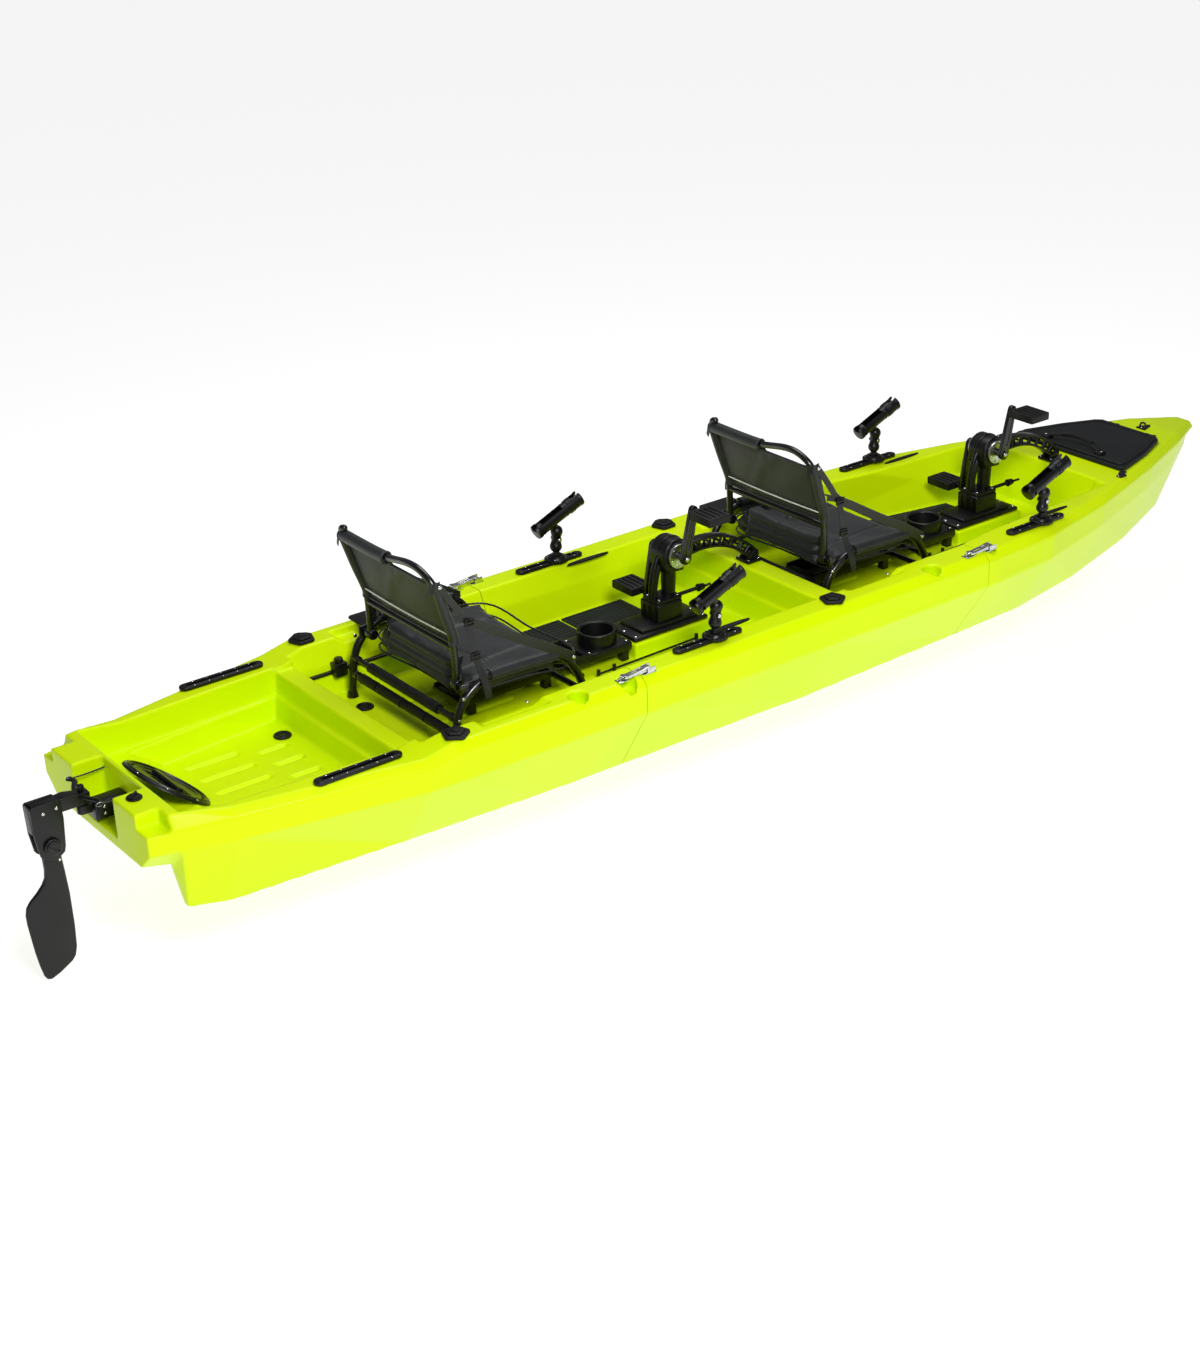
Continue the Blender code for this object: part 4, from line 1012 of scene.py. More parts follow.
def buildPropeller():
    x, z = drive["hub"]
    hub = addRound("rear_propeller_hub", (x - 0.014, 0, z), (x + 0.018, 0, z), 0.0185, 32)
    nose = addRound("nose", (x - 0.0160, 0, z), (x - 0.014, 0, z), 0.0130, 32, 0.0185)
    blades = []
    for turn in (0, 180):
        outline = [(-0.009, 0.012), (-0.016, 0.028), (-0.0185, 0.046), (-0.0165, 0.066),
                   (-0.0100, 0.081), (0.0, drive["bladeTip"]), (0.009, 0.0855), (0.0155, 0.073),
                   (0.0175, 0.055), (0.0150, 0.034), (0.009, 0.012)]
        blade = addPlate("blade", outline, -0.0016, 0.0016, "X")
        for vert in blade.data.vertices:            # twist: coarse at the root, fine at the tip
            pitch = math.radians(90 - drive["bladeTwist"] + 34 * vert.co.z / drive["bladeTip"])
            u, v = vert.co.y, vert.co.x
            vert.co.x = u * math.sin(pitch) * 0.55 + v * math.cos(pitch)
            vert.co.y = u * math.cos(pitch) * 1.6 - v * math.sin(pitch)
        roundEdges(blade, 0.0008, 2, 50)
        tilt(blade, (0, 0, 0), turn, "X")
        blade.data.transform(Matrix.Translation((x, 0, z)))
        blades.append(blade)
    prop = gather(hub, nose, *blades)
    spread(prop, "rear_propeller", nylon, "black_plastic", "rear_propeller", angle=40)


def buildCrank():
    x, z = drive["axle"]
    lean = math.radians(drive["lean"])
    reach = Vector((math.sin(lean), 0, math.cos(lean))) * drive["reach"]
    hub = Vector((x, 0, z))
    axle = addRound("rear_crank_arms", (x, -0.0785, z), (x, 0.0785, z), 0.0112, 28)
    parts = [axle]
    caps = []
    for side, sign in (("stbd", -1), ("port", 1)):
        end = hub + reach * -sign
        across = Vector((reach.z, 0, -reach.x)).normalized() * -sign
        along = (end - hub).normalized()
        outline = []
        for centre, radius, base in ((hub, 0.0172, 90), (end, 0.0125, -90)):
            for step in range(9):
                angle = math.radians(base + 22.5 * step)
                spot = centre + along * radius * math.cos(angle) + across * radius * math.sin(angle)
                outline.append((spot.x, spot.z))
        arm = addPlate("arm", outline, *sorted((sign * 0.0610, sign * 0.0750)), "Y")
        slot = []
        for centre, base in ((hub + along * 0.034, 90), (end - along * 0.030, -90)):
            for step in range(5):
                angle = math.radians(base + 45 * step)
                spot = centre + along * 0.0055 * math.cos(angle) + across * 0.0055 * math.sin(angle)
                slot.append((spot.x, spot.z))
        cut(arm, addPlate("relief", slot, *sorted((sign * 0.0720, sign * 0.0800)), "Y"))
        parts.append(roundEdges(arm, 0.0022, 3, 40))
        parts.append(addRound("spindle", (end.x, sign * 0.070, end.z), (end.x, sign * 0.0905, end.z),
                              0.0072, 20))
        caps.append((x, sign * 0.0790, z))
        buildPedal(side, sign, end)
    cranks = gather(*parts)
    spread(cranks, "rear_crank", powderCoat, "black_metal", "rear_crank", angle=40)
    bolts = gather(*[studs("bolt", [spot], 0.0078, (0, math.copysign(1, spot[1]), 0))
                     for spot in caps])
    bolts.name = "rear_crank_bolts"
    spread(bolts, "rear_crank", stainless, "stainless")


def buildPedal(side, sign, end):
    low, high = sorted((sign * 0.0915, sign * 0.1860))
    core = roundEdges(addBox("core", (end.x - 0.030, low + 0.003, end.z - 0.0085),
                             (end.x + 0.030, high - 0.001, end.z + 0.0085)), 0.003, 2)
    parts = [core]
    for y0, y1 in ((low, low + 0.010), (high - 0.010, high)):
        parts.append(roundEdges(addBox("cheek", (end.x - 0.037, y0, end.z - 0.0118),
                                       (end.x + 0.037, y1, end.z + 0.0118)), 0.003, 3))
    for u in (-0.0315, -0.0165, 0.0, 0.0165, 0.0315):
        parts.append(roundEdges(addBox("bar", (end.x + u - 0.0050, low + 0.004, end.z - 0.0120),
                                       (end.x + u + 0.0050, high - 0.004, end.z + 0.0120)), 0.0018, 2))
    pedal = gather(*parts)
    pedal.name = "rear_pedal_tread_" + side
    spread(pedal, "rear_pedal_" + side, rubber, "rubber", "rear_pedal_" + side, angle=40)


buildGearbox()
buildArch()
buildLeg()
buildPropeller()
buildCrank()
print("drives built")


# Rod holders: slotted track, ball mount, double socket arm, cradle tube with ribbed collar
holder = {"x": -0.350, "y": 0.360, "lowerBall": 0.350, "upperBall": (-0.345, 0.395),
          "lean": 23, "tube": 0.0205, "bore": 0.0160, "collar": 0.0235}


# a long rounded bar lying on the deck
def capsule(x0, x1, y, radius, count=9):
    return [(x1 - radius + u, y + v) for u, v in arc((0, 0), radius, -90, 90, count)] + \
           [(x0 + radius + u, y + v) for u, v in arc((0, 0), radius, 90, 270, count)]


def slottedTrack(name, x0, x1, y, z, half, height):
    rail = roundEdges(addPlate(name, capsule(x0, x1, y, half), z, z + height), 0.0022, 3)
    cut(rail, addPlate("slot", capsule(x0 + 0.020, x1 - 0.020, y, 0.0050), z + 0.004, z + 0.03),
        addPlate("undercut", capsule(x0 + 0.022, x1 - 0.022, y, 0.0078), z + 0.0035, z + 0.0062))
    bead = addTube("bead", [(u, v, z + height - 0.0004) for u, v in
                            capsule(x0 + 0.004, x1 - 0.004, y, half - 0.004)], 0.0011, 8, True)
    return gather(rail, bead)


def trackScrews(name, x0, x1, y, z, count, spreadY):
    places = []
    for i in range(count):
        x = x0 + (x1 - x0) * (i + 0.5) / count
        places.append((x, y - spreadY, z))
        places.append((x + 0.004, y + spreadY, z))
    return studs(name, places, 0.0030, (0, 0, 1))


def buildRodHolder():
    x, y = holder["x"], holder["y"]
    deck = deckZ + 0.0003
    rail = slottedTrack("rear_rod_track_port", -0.492, -0.262, y, deck, 0.016, 0.010)
    base = addRound("disc", (x, y, deck + 0.006), (x, y, deck + 0.0150), 0.034, 40)
    roundEdges(base, 0.003, 3)
    step = roundEdges(addRound("step", (x, y, deck + 0.014), (x, y, deck + 0.0225), 0.0285, 40, 0.0225),
                      0.0022, 3)
    teeth = [addRound("tooth", (x + u, y + v, deck + 0.0075), (x + u, y + v, deck + 0.0145), 0.0032, 8)
             for u, v in arc((0, 0), 0.0328, 0, 340, 18)]
    neck = addRound("neck", (x, y, deck + 0.020), (x, y, 0.3345), 0.0120, 24, 0.0095)
    nut = roundEdges(addRound("nut", (x, y, 0.3225), (x, y, 0.3285), 0.0150, 6), 0.001)
    track = gather(rail, base, step, neck, nut, *teeth)
    track.name = "rear_rod_mount_port"
    spread(track, "hull", nylon, "black_plastic", "rod_track_rear_port", across=True)
    screws = trackScrews("rear_track_screws_port", -0.478, -0.392, y, deck + 0.0098, 2, 0.0110)
    more = trackScrews("more", -0.312, -0.276, y, deck + 0.0098, 1, 0.0110)
    discScrews = studs("discScrews", [(x + u, y + v, deck + 0.0152) for u, v in
                                      arc((0, 0), 0.0262, 45, 315, 4)], 0.0026, (0, 0, 1))
    screws = gather(screws, more, discScrews)
    screws.name = "rear_track_screws_port"
    spread(screws, "hull", stainless, "stainless", across=True)

    # the arm: two clamped half shells with a bolt between the balls
    upper = Vector((holder["upperBall"][0], y, holder["upperBall"][1]))
    lower = Vector((x, y, holder["lowerBall"]))
    axis = (upper - lower).normalized()
    middle = (upper + lower) / 2
    shells = [addBall("socket", lower, 0.0180, 28, 16), addBall("socket", upper, 0.0180, 28, 16)]
    shells.append(addRound("waist", lower + axis * 0.004, middle, 0.0168, 28, 0.0128))
    shells.append(addRound("waist", middle, upper - axis * 0.004, 0.0128, 28, 0.0168))
    seam = addPlate("seamGap", [(-0.40, 0.325), (-0.30, 0.325), (-0.30, 0.420), (-0.40, 0.420)],
                    y - 0.0007, y + 0.0007, "Y")
    shells = weld(shells[0], *shells[1:])
    cut(shells, seam, addBox("mouthLow", (x - 0.03, y - 0.03, 0.325), (x + 0.03, y + 0.03, 0.3375)))
    boltBoss = roundEdges(addRound("boltBoss", middle - Vector((0, 0.0175, 0)),
                                   middle + Vector((0, 0.0175, 0)), 0.0080, 24), 0.001)
    lowBall = addBall("ball", lower, 0.0168, 24, 14)
    highBall = addBall("ball", upper, 0.0168, 24, 14)
    arm = gather(shells, boltBoss, lowBall, highBall)
    arm.name = "rear_rod_arm_port"
    spread(arm, "rod_arm_rear_port", nylon, "black_plastic", "rod_arm_rear_port", across=True)
    bolt = studs("rear_arm_bolt_port", [middle + Vector((0, 0.0176, 0)), middle - Vector((0, 0.0176, 0))],
                 0.0056, (0, -1, 0))
    spread(bolt, "rod_arm_rear_port", stainless, "stainless", across=True)

    # the tube, modelled level at the origin, then leaned over its ball
    barrel = addRound("barrel", (-0.058, 0, 0.042), (0.066, 0, 0.042), holder["tube"], 36)
    collar = addRound("collar", (0.060, 0, 0.042), (0.1085, 0, 0.042), 0.0222, 36)
    lip = roundEdges(addRound("lip", (0.1010, 0, 0.042), (0.1098, 0, 0.042), holder["collar"], 36), 0.0014)
    butt = roundEdges(addRound("butt", (-0.0619, 0, 0.042), (-0.0480, 0, 0.042), 0.0226, 36), 0.0018)
    keel = addPlate("keel", [(-0.044, 0.030), (-0.030, 0.022), (0.030, 0.022), (0.052, 0.028),
                             (0.052, 0.036), (-0.044, 0.036)], -0.0075, 0.0075, "Y")
    tube = weld(barrel, collar, lip, butt, roundEdges(keel, 0.0015))
    cut(tube, addRound("bore", (-0.050, 0, 0.042), (0.150, 0, 0.042), holder["bore"], 36),
        addBox("window", (-0.038, -0.0135, 0.045), (0.042, 0.0135, 0.080)),
        addBox("mouthSlot", (0.080, -0.0085, 0.044), (0.150, 0.0085, 0.080)),
        addRound("pin", (-0.0455, -0.05, 0.0380), (-0.0455, 0.05, 0.0380), 0.0070, 20),
        addBox("tail", (-0.0700, -0.0110, 0.0460), (-0.0500, 0.0110, 0.0800)))
    ribs = [addRing("rib", (u, 0, 0.042), 0.0222, 0.0012, (1, 0, 0), 36, 8)
            for u in (0.0645, 0.0705, 0.0765)]
    stem = addRound("stem", (0, 0, 0.0150), (0, 0, 0.0270), 0.0105, 24, 0.0125)
    hoopRibs = [addRing("hoop", (u, 0, 0.042), holder["tube"], 0.0014, (1, 0, 0), 36, 8)
                for u in (-0.041, 0.049)]
    for rib in ribs:
        cut(rib, addBox("gap", (0.05, -0.0090, 0.044), (0.12, 0.0090, 0.080)))
    for hoop in hoopRibs:
        cut(hoop, addBox("gap", (-0.07, -0.0140, 0.044), (0.07, 0.0140, 0.080)))
    tube = gather(tube, stem, *ribs, *hoopRibs)
    tilt(tube, (0, 0, 0), -holder["lean"], "Y")
    tube.data.transform(Matrix.Translation(upper))
    tube.name = "rear_rod_cradle_port"
    spread(tube, "rod_tube_rear_port", nylon, "black_plastic", "rod_tube_rear_port", across=True)


# Stern tracks, deck caps, seam latches, gunwale trims
def buildSternTracks():
    rail = slottedTrack("stern_rail_port", -1.576, -1.330, 0.345, 0.2823, 0.017, 0.010)
    spread(rail, "hull", nylon, "black_plastic", "stern_track_port", along=False, across=True)
    screws = trackScrews("stern_rail_screws_port", -1.558, -1.348, 0.345, 0.2922, 5, 0.0112)
    spread(screws, "hull", stainless, "stainless", along=False, across=True)


def buildDeckCaps():
    x, y, z = -1.190, 0.375, deckZ + 0.0003
    corners = arc((x, y), 0.0395, 18, 18 + 288, 5)
    outline = []
    for i, (u, v) in enumerate(corners):            # five sides with soft corners
        before, after = corners[i - 1], corners[(i + 1) % 5]
        for t, other in ((0.22, before), (0.10, before), (0.10, after), (0.22, after)):
            outline.append((u + (other[0] - u) * t, v + (other[1] - v) * t))
    cap = addPlate("rear_gunwale_cap_port", outline, z, z + 0.0095)
    roundEdges(cap, 0.0030, 3, 40)
    crown = addPlate("crown", [(x + (u - x) * 0.70, y + (v - y) * 0.70) for u, v in outline],
                     z + 0.0085, z + 0.0150)
    roundEdges(crown, 0.0030, 3, 40)
    button = roundEdges(addRound("button", (x, y, z + 0.014), (x, y, z + 0.0175), 0.0115, 28), 0.001)
    cap = gather(cap, crown, button)
    spread(cap, "hull", rubber, "rubber", "deck_cap_rear_port", across=True)


def buildLatches():
    lever = {"rear": "aft", "front": "fwd"}
    y, z = 0.398, 0.304
    x = seams["aft"]
    profile = [(-0.055, z + 0.005), (-0.050, z + 0.001), (0.024, z + 0.001), (0.034, z + 0.003),
               (0.036, z + 0.008), (0.030, z + 0.0135), (0.018, z + 0.0125), (-0.036, z + 0.0065),
               (-0.052, z + 0.0090)]
    plate = addPlate("rear_latch_handle_port", [(x + u, v) for u, v in profile], y - 0.0108, y + 0.0108,
                     "Y")
    cut(plate, addBox("cutout", (x - 0.028, y - 0.0060, z - 0.01), (x + 0.008, y + 0.0060, z + 0.03)))
    roundEdges(plate, 0.0010, 2)
    wire = []
    for s in (1, -1):
        wire.append(addTube("wire", smoothPath([(x + 0.012, y + s * 0.0045, z + 0.0100),
                                                (x - 0.010, y + s * 0.0050, z + 0.0080),
                                                (x - 0.030, y + s * 0.0045, z + 0.0060)], 5), 0.0014, 10))
    wire.append(addTube("wire", smoothPath([(x - 0.030, y + 0.0045, z + 0.006),
                                            (x - 0.034, y, z + 0.0058),
                                            (x - 0.030, y - 0.0045, z + 0.006)], 5), 0.0014, 10))
    handle = gather(plate, *wire)
    handle.name = "rear_latch_handle_port"
    for station, shift in stations.items():
        for side in sides:
            body = "latch_lever_%s_%s" % (lever[station], side)
            name = "latch_handle_%s_%s" % (lever[station], side)
            twin = copyOf(handle, name, (shift, 0, 0), side == "stbd")
            settle(twin, body, stainless, "stainless", body)
    bpy.data.objects.remove(handle, do_unlink=True)

    base = [roundEdges(addBox("basePlate", (x + 0.006, y - 0.0140, 0.2995), (x + 0.048, y + 0.0140, 0.3022)),
                       0.0010)]
    for s in (1, -1):
        base.append(roundEdges(addBox("cheek", (x + 0.018, y + s * 0.0126 - 0.0009, 0.3010),
                                       (x + 0.044, y + s * 0.0126 + 0.0009, 0.3160)), 0.0006))
    base.append(addRound("pivot", (x + 0.030, y - 0.0146, 0.311), (x + 0.030, y + 0.0146, 0.311),
                         0.0026, 16))
    base.append(roundEdges(addBox("keeperPlate", (x - 0.072, y - 0.0120, 0.2995),
                                  (x - 0.040, y + 0.0120, 0.3020)), 0.0010))
    base.append(addTube("keeperHook", smoothPath([(x - 0.062, y, 0.302), (x - 0.064, y, 0.308),
                                                  (x - 0.058, y, 0.311), (x - 0.056, y, 0.306)], 4),
                        0.0030, 10))
    base = gather(*base)
    base.name = "rear_latch_base_port"
    spread(base, "hull", stainless, "stainless", across=True)
    spread(studs("rear_latch_rivets_port", [(x - 0.066, y + 0.0075, 0.3018), (x - 0.066, y - 0.0075, 0.3018),
                                            (x + 0.044, y + 0.0075, 0.3020), (x + 0.044, y - 0.0075, 0.3020)],
                 0.0028, (0, 0, 1)), "hull", machined, "stainless", across=True)


def buildGunwaleTrims():
    # flat accessory plate on the port gunwale beside each seat, grab pads, rail clamps
    plate = addPlate("rear_gunwale_plate", [(-1.010, 0.334), (-0.900, 0.334), (-0.892, 0.342),
                                            (-0.892, 0.418), (-0.900, 0.426), (-1.010, 0.426),
                                            (-1.018, 0.418), (-1.018, 0.342)], deckZ - 0.0010,
                     deckZ + 0.0045)
    roundEdges(plate, 0.0014, 2)
    spread(plate, "hull", lidPlastic, "hatch_lid")
    pad = []
    for (u, v) in arc((0, 0), 1, 0, 345, 24):
        pad.append((-0.268 + u * 0.074, 0.3180 + v * 0.0085))
    pad = roundEdges(addPlate("rear_grab_pad_port", pad, deckZ - 0.002, deckZ + 0.0040), 0.0015, 2)
    spread(pad, "hull", rubber, "rubber", across=True)
    rail = [roundEdges(addBox("wallRail", (-1.235, 0.2930, 0.2160), (-0.690, 0.3050, 0.2240)), 0.0015)]
    for x in (-1.130, -0.740):
        rail.append(roundEdges(addBox("railClamp", (x - 0.019, 0.2760, 0.2080), (x + 0.019, 0.3080, 0.2470)),
                               0.003, 2))
        rail.append(roundEdges(addRound("railKnob", (x, 0.291, 0.2465), (x, 0.291, 0.2600), 0.0125, 8),
                               0.0015))
    rail = gather(*rail)
    rail.name = "rear_wall_rail_port"
    spread(rail, "hull", nylon, "black_plastic", across=True)
    spread(studs("rear_gunwale_snaps_port", [(-0.948, 0.338, deckZ), (-0.700, 0.4035, deckZ)], 0.0055,
                 (0, 0, 1)), "hull", stainless, "stainless", across=True)


buildRodHolder()
buildSternTracks()
buildDeckCaps()
buildLatches()
buildGunwaleTrims()
print("deck fittings built")


# Rudder: pin bracket, yoke with steering lines, cheek plates, slotted knob, foil blade
rudder = {"pin": (-2.020, 0.276), "pivot": (-2.118, 0.176), "line": 0.0021}


def buildRudder():
    block = roundEdges(addBox("rudder_mount", (-1.998, -0.0215, 0.201), (-1.9105, 0.0215, 0.2490)),
                       0.004, 3)
    lug = roundEdges(addPlate("lug", [(-2.000, -0.014), (-2.000, 0.014)] +
                              [(-2.022 + u, v) for u, v in arc((0, 0), 0.0138, 90, 270, 11)],
                              0.2255, 0.2485), 0.0015)
    pin = addRound("pin", (-2.020, 0, 0.240), (-2.020, 0, 0.2975), 0.0058, 20)
    head = roundEdges(addRound("pinHead", (-2.020, 0, 0.2925), (-2.020, 0, 0.2995), 0.0098, 6), 0.001)
    cheeks = [roundEdges(addPlate("gusset", [(-1.995, 0.206), (-1.930, 0.206), (-1.914, 0.246),
                                             (-1.990, 0.246)], y - 0.003, y + 0.003, "Y"), 0.001)
              for y in (-0.0225, 0.0225)]
    mount = gather(block, lug, pin, head, *cheeks)
    mount.name = "rudder_mount"
    settle(mount, "hull", nylon, "black_plastic", "rudder_bracket")
    settle(studs("rudder_mount_bolts", [(-1.975, y, z) for y in (-0.0258,) for z in (0.218, 0.236)] +
                 [(-1.935, y, z) for y in (-0.0258,) for z in (0.218, 0.236)], 0.0042, (0, -1, 0)),
           "hull", stainless, "stainless")

    cheek = [(-2.160, 0.286), (-2.155, 0.291), (-2.086, 0.291), (-2.081, 0.286), (-2.079, 0.240),
             (-2.084, 0.168), (-2.088, 0.152)] + \
            [(-2.118 + u, 0.176 + v) for u, v in arc((0, 0), 0.037, -50, -140, 9)] + \
            [(-2.150, 0.158), (-2.158, 0.210)]
    plates = []
    for sign in (1, -1):
        y = sign * 0.018
        plates.append(roundEdges(addPlate("cheek", cheek, y - 0.0034, y + 0.0034, "Y"), 0.0016, 3))
    plates.append(roundEdges(addBox("web", (-2.160, -0.016, 0.217), (-2.150, 0.016, 0.289)), 0.002))
    plates.append(roundEdges(addBox("webTop", (-2.158, -0.016, 0.279), (-2.084, 0.016, 0.2890)), 0.002))
    plates.append(roundEdges(addBox("webCore", (-2.120, -0.0150, 0.222), (-2.082, 0.0150, 0.282)), 0.003))
    neck = [(-2.092, 0.254), (-2.092, 0.288), (-2.062, 0.290), (-2.034, 0.284), (-2.004, 0.2835),
            (-2.004, 0.2535), (-2.040, 0.2535), (-2.066, 0.2535)]
    arm = addPlate("neck", neck, -0.0165, 0.0165, "Y")
    cut(arm, addRound("bore", (-2.020, 0, 0.230), (-2.020, 0, 0.320), 0.0075, 20))
    plates.append(roundEdges(arm, 0.004, 3))
    for sign in (1, -1):                            # slim swept steering arms
        sweep = smoothPath([(-2.030, sign * 0.010, 0.2785), (-2.020, sign * 0.036, 0.2795),
                            (-2.006, sign * 0.064, 0.2790), (-2.0085, sign * 0.082, 0.2785)], 6)
        horn = addTube("horn", sweep, 0.0075, 14)
        for vert in horn.data.vertices:
            vert.co.z = 0.2790 + (vert.co.z - 0.2790) * 0.62
        plates.append(horn)
        eye = addRing("eye", (-2.0115, sign * 0.0830, 0.2790), 0.0062, 0.0027, (0, 0, 1), 24, 10)
        plates.append(eye)
    rudderHead = gather(*plates)
    rudderHead.name = "rudder_yoke"
    settle(rudderHead, "rudder_head", nylon, "black_plastic", "rudder_head")
    settle(studs("rudder_cheek_rivets", [(-2.128, -0.0216, 0.268), (-2.094, -0.0216, 0.272)], 0.0046,
                 (0, -1, 0)), "rudder_head", stainless, "stainless")
    rings = []
    for sign in (1, -1):
        ring = addRing("shackle", (-2.0110, sign * 0.0855, 0.2795), 0.0070, 0.0013, (0.2, 0.9, 0.4), 22, 8)
        rings.append(ring)
        rings.append(addRound("shacklePin", (-2.0200, sign * 0.0850, 0.2790),
                              (-2.0030, sign * 0.0850, 0.2790), 0.0017, 10))
    rings = gather(*rings)
    rings.name = "rudder_shackles"
    settle(rings, "rudder_head", stainless, "stainless")

    lines = []
    for sign, wallY in ((1, 0.0950), (-1, -0.0950)):
        route = smoothPath([(-2.006, sign * 0.0840, 0.2790), (-1.985, sign * 0.0850, 0.2775),
                            (-1.955, sign * 0.0880, 0.2760), (-1.912, wallY, 0.2745)], 5)
        lines.append(addTube("line", route, rudder["line"], 8))
    lines = gather(*lines)
    lines.name = "rudder_steering_lines"
    settle(lines, "", webbing, "rubber")
    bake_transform(lines)

    px, pz = rudder["pivot"]
    top = [(px + u, pz + v) for u, v in arc((0, 0), 0.0238, 12, 168, 12)]
    outline = top + [(-2.1405, 0.150), (-2.1395, 0.110), (-2.1425, 0.088), (-2.1520, 0.072),
                     (-2.1680, 0.056), (-2.1880, 0.040), (-2.1990, 0.026), (-2.2035, 0.006),
                     (-2.2030, -0.020), (-2.1950, -0.100), (-2.1890, -0.140), (-2.1820, -0.172),
                     (-2.1750, -0.184), (-2.1640, -0.1855), (-2.1400, -0.176), (-2.1060, -0.156),
                     (-2.0960, -0.144), (-2.0895, -0.120), (-2.0865, -0.060), (-2.0865, 0.030),
                     (-2.0900, 0.090), (-2.0945, 0.150)]
    blade = addPlate("rudder_foil", outline, -0.0090, 0.0090, "Y")
    roundEdges(blade, 0.0058, 4, 40)
    for vert in blade.data.vertices:                # thins below the cheeks, foil-like
        if vert.co.z < 0.135:
            fall = min(1.0, (0.135 - vert.co.z) / 0.09)
            chord = max(0.0, min(1.0, (vert.co.x + 2.204) / 0.118))
            vert.co.y *= 1 - fall * (0.15 + 0.35 * (1 - chord))
    settle(blade, "rudder_blade", nylon, "black_plastic", "rudder_blade", angle=40)
    settle(studs("rudder_blade_pins", [(-2.100, -0.0080, 0.128)], 0.0036, (0, -1, 0)), "rudder_blade",
           stainless, "stainless")

    knob = roundEdges(addRound("rudder_lock_knob", (px, -0.0218, pz), (px, -0.0300, pz), 0.0228, 40),
                      0.002, 3)
    face = roundEdges(addRound("face", (px, -0.0290, pz), (px, -0.0338, pz), 0.0180, 40), 0.0015, 3)
    knob = gather(knob, face)
    slot = addBox("slot", (px - 0.0155, -0.0400, pz - 0.0026), (px + 0.0155, -0.0312, pz + 0.0026))
    cut(knob, slot)
    tilt(knob, (px, 0, pz), 40, "Y")
    settle(knob, "rudder_knob", nylon, "black_plastic", "rudder_knob")


def buildHatch():
    slope = math.degrees(math.atan2(0.150, 0.200))
    centre = (-1.800, 0, 0.225)

    def lay(obj, name):                             # modelled flat at the origin, then laid on the slope
        tilt(obj, (0, 0, 0), slope, "Y")
        obj.data.transform(Matrix.Translation(Vector(centre)))
        obj.name = name
        return obj

    ring = addRound("ring", (0, 0, 0.0006), (0, 0, 0.0085), 0.1200, 72, 0.1150)
    cut(ring, addRound("bore", (0, 0, -0.01), (0, 0, 0.03), 0.0985, 72))
    roundEdges(ring, 0.0020, 3)
    bead = addRing("bead", (0, 0, 0.0088), 0.1055, 0.0030, (0, 0, 1), 72, 10)
    settle(lay(gather(ring, bead), "hatch_rim"), "hull", nylon, "black_plastic", "tank_hatch_ring")
    screws = studs("screws", [(u, v, 0.0086) for u, v in arc((0, 0), 0.1115, 15, 330, 8)], 0.0038,
                   (0, 0, 1))
    settle(lay(screws, "hatch_rim_screws"), "hull", stainless, "stainless")
    cover = addRound("cover", (0, 0, 0.0006), (0, 0, 0.0080), 0.0962, 72, 0.0935)
    pickFaces(cover, lambda where, normal: normal.z > 0.9)
    bpy.ops.mesh.inset(thickness=0.0080, depth=0.0)
    bpy.ops.mesh.inset(thickness=0.0040, depth=-0.0032)
    leaveEdit()
    cut(cover, addBox("well", (-0.0430, -0.0620, 0.0026), (0.0430, 0.0620, 0.03)))
    roundEdges(cover, 0.0010, 2)
    grip = roundEdges(addBox("grip", (-0.0105, -0.0680, 0.0028), (0.0105, 0.0680, 0.0150)), 0.0042, 4)
    ribs = [roundEdges(addBox("rib", (-0.0400, y - 0.0016, 0.0020), (0.0400, y + 0.0016, 0.0052)), 0.0008)
            for y in (-0.045, -0.015, 0.015, 0.045)]
    settle(lay(gather(cover, grip, *ribs), "hatch_screw_cover"), "hatch_cover", nylon, "black_plastic",
           "tank_hatch_cover")


def buildDrainPlug():
    x, y, z = -1.950, -0.150, deckZ + 0.0003
    flange = roundEdges(addRound("drain_plug_cap", (x, y, z), (x, y, z + 0.0045), 0.0198, 40), 0.0016, 3)
    crown = roundEdges(addRound("crown", (x, y, z + 0.0035), (x, y, z + 0.0085), 0.0150, 32), 0.0018, 3)
    bar = roundEdges(addBox("bar", (x - 0.0125, y - 0.0034, z + 0.006), (x + 0.0125, y + 0.0034, z + 0.0145)),
                     0.0018, 3)
    plug = gather(flange, crown, tilt(bar, (x, y, z), 35, "Z"))
    settle(plug, "hull", rubber, "rubber", "drain_plug")
    rings = []
    for rx, ry, rz in ((-1.380, 0.176, 0.150), (-1.380, -0.176, 0.150), (-1.130, 0.170, 0.155),
                       (-1.130, -0.170, 0.155), (0.166, 0.170, 0.155), (0.166, -0.170, 0.155)):
        rings.append(addRing("ring", (rx, ry, rz + 0.0018), 0.0205, 0.0042, (0, 0, 1), 32, 10))
        rings.append(addRound("throat", (rx, ry, rz - 0.020), (rx, ry, rz + 0.0015), 0.0165, 24))
        rings.append(addRound("bung", (rx, ry, rz + 0.001), (rx, ry, rz + 0.0042), 0.0120, 24, 0.0085))
    rings = gather(*rings)
    rings.name = "scupper_fittings"
    settle(rings, "hull", rubber, "rubber")


buildRudder()
buildHatch()
buildDrainPlug()
print("stern fittings built")


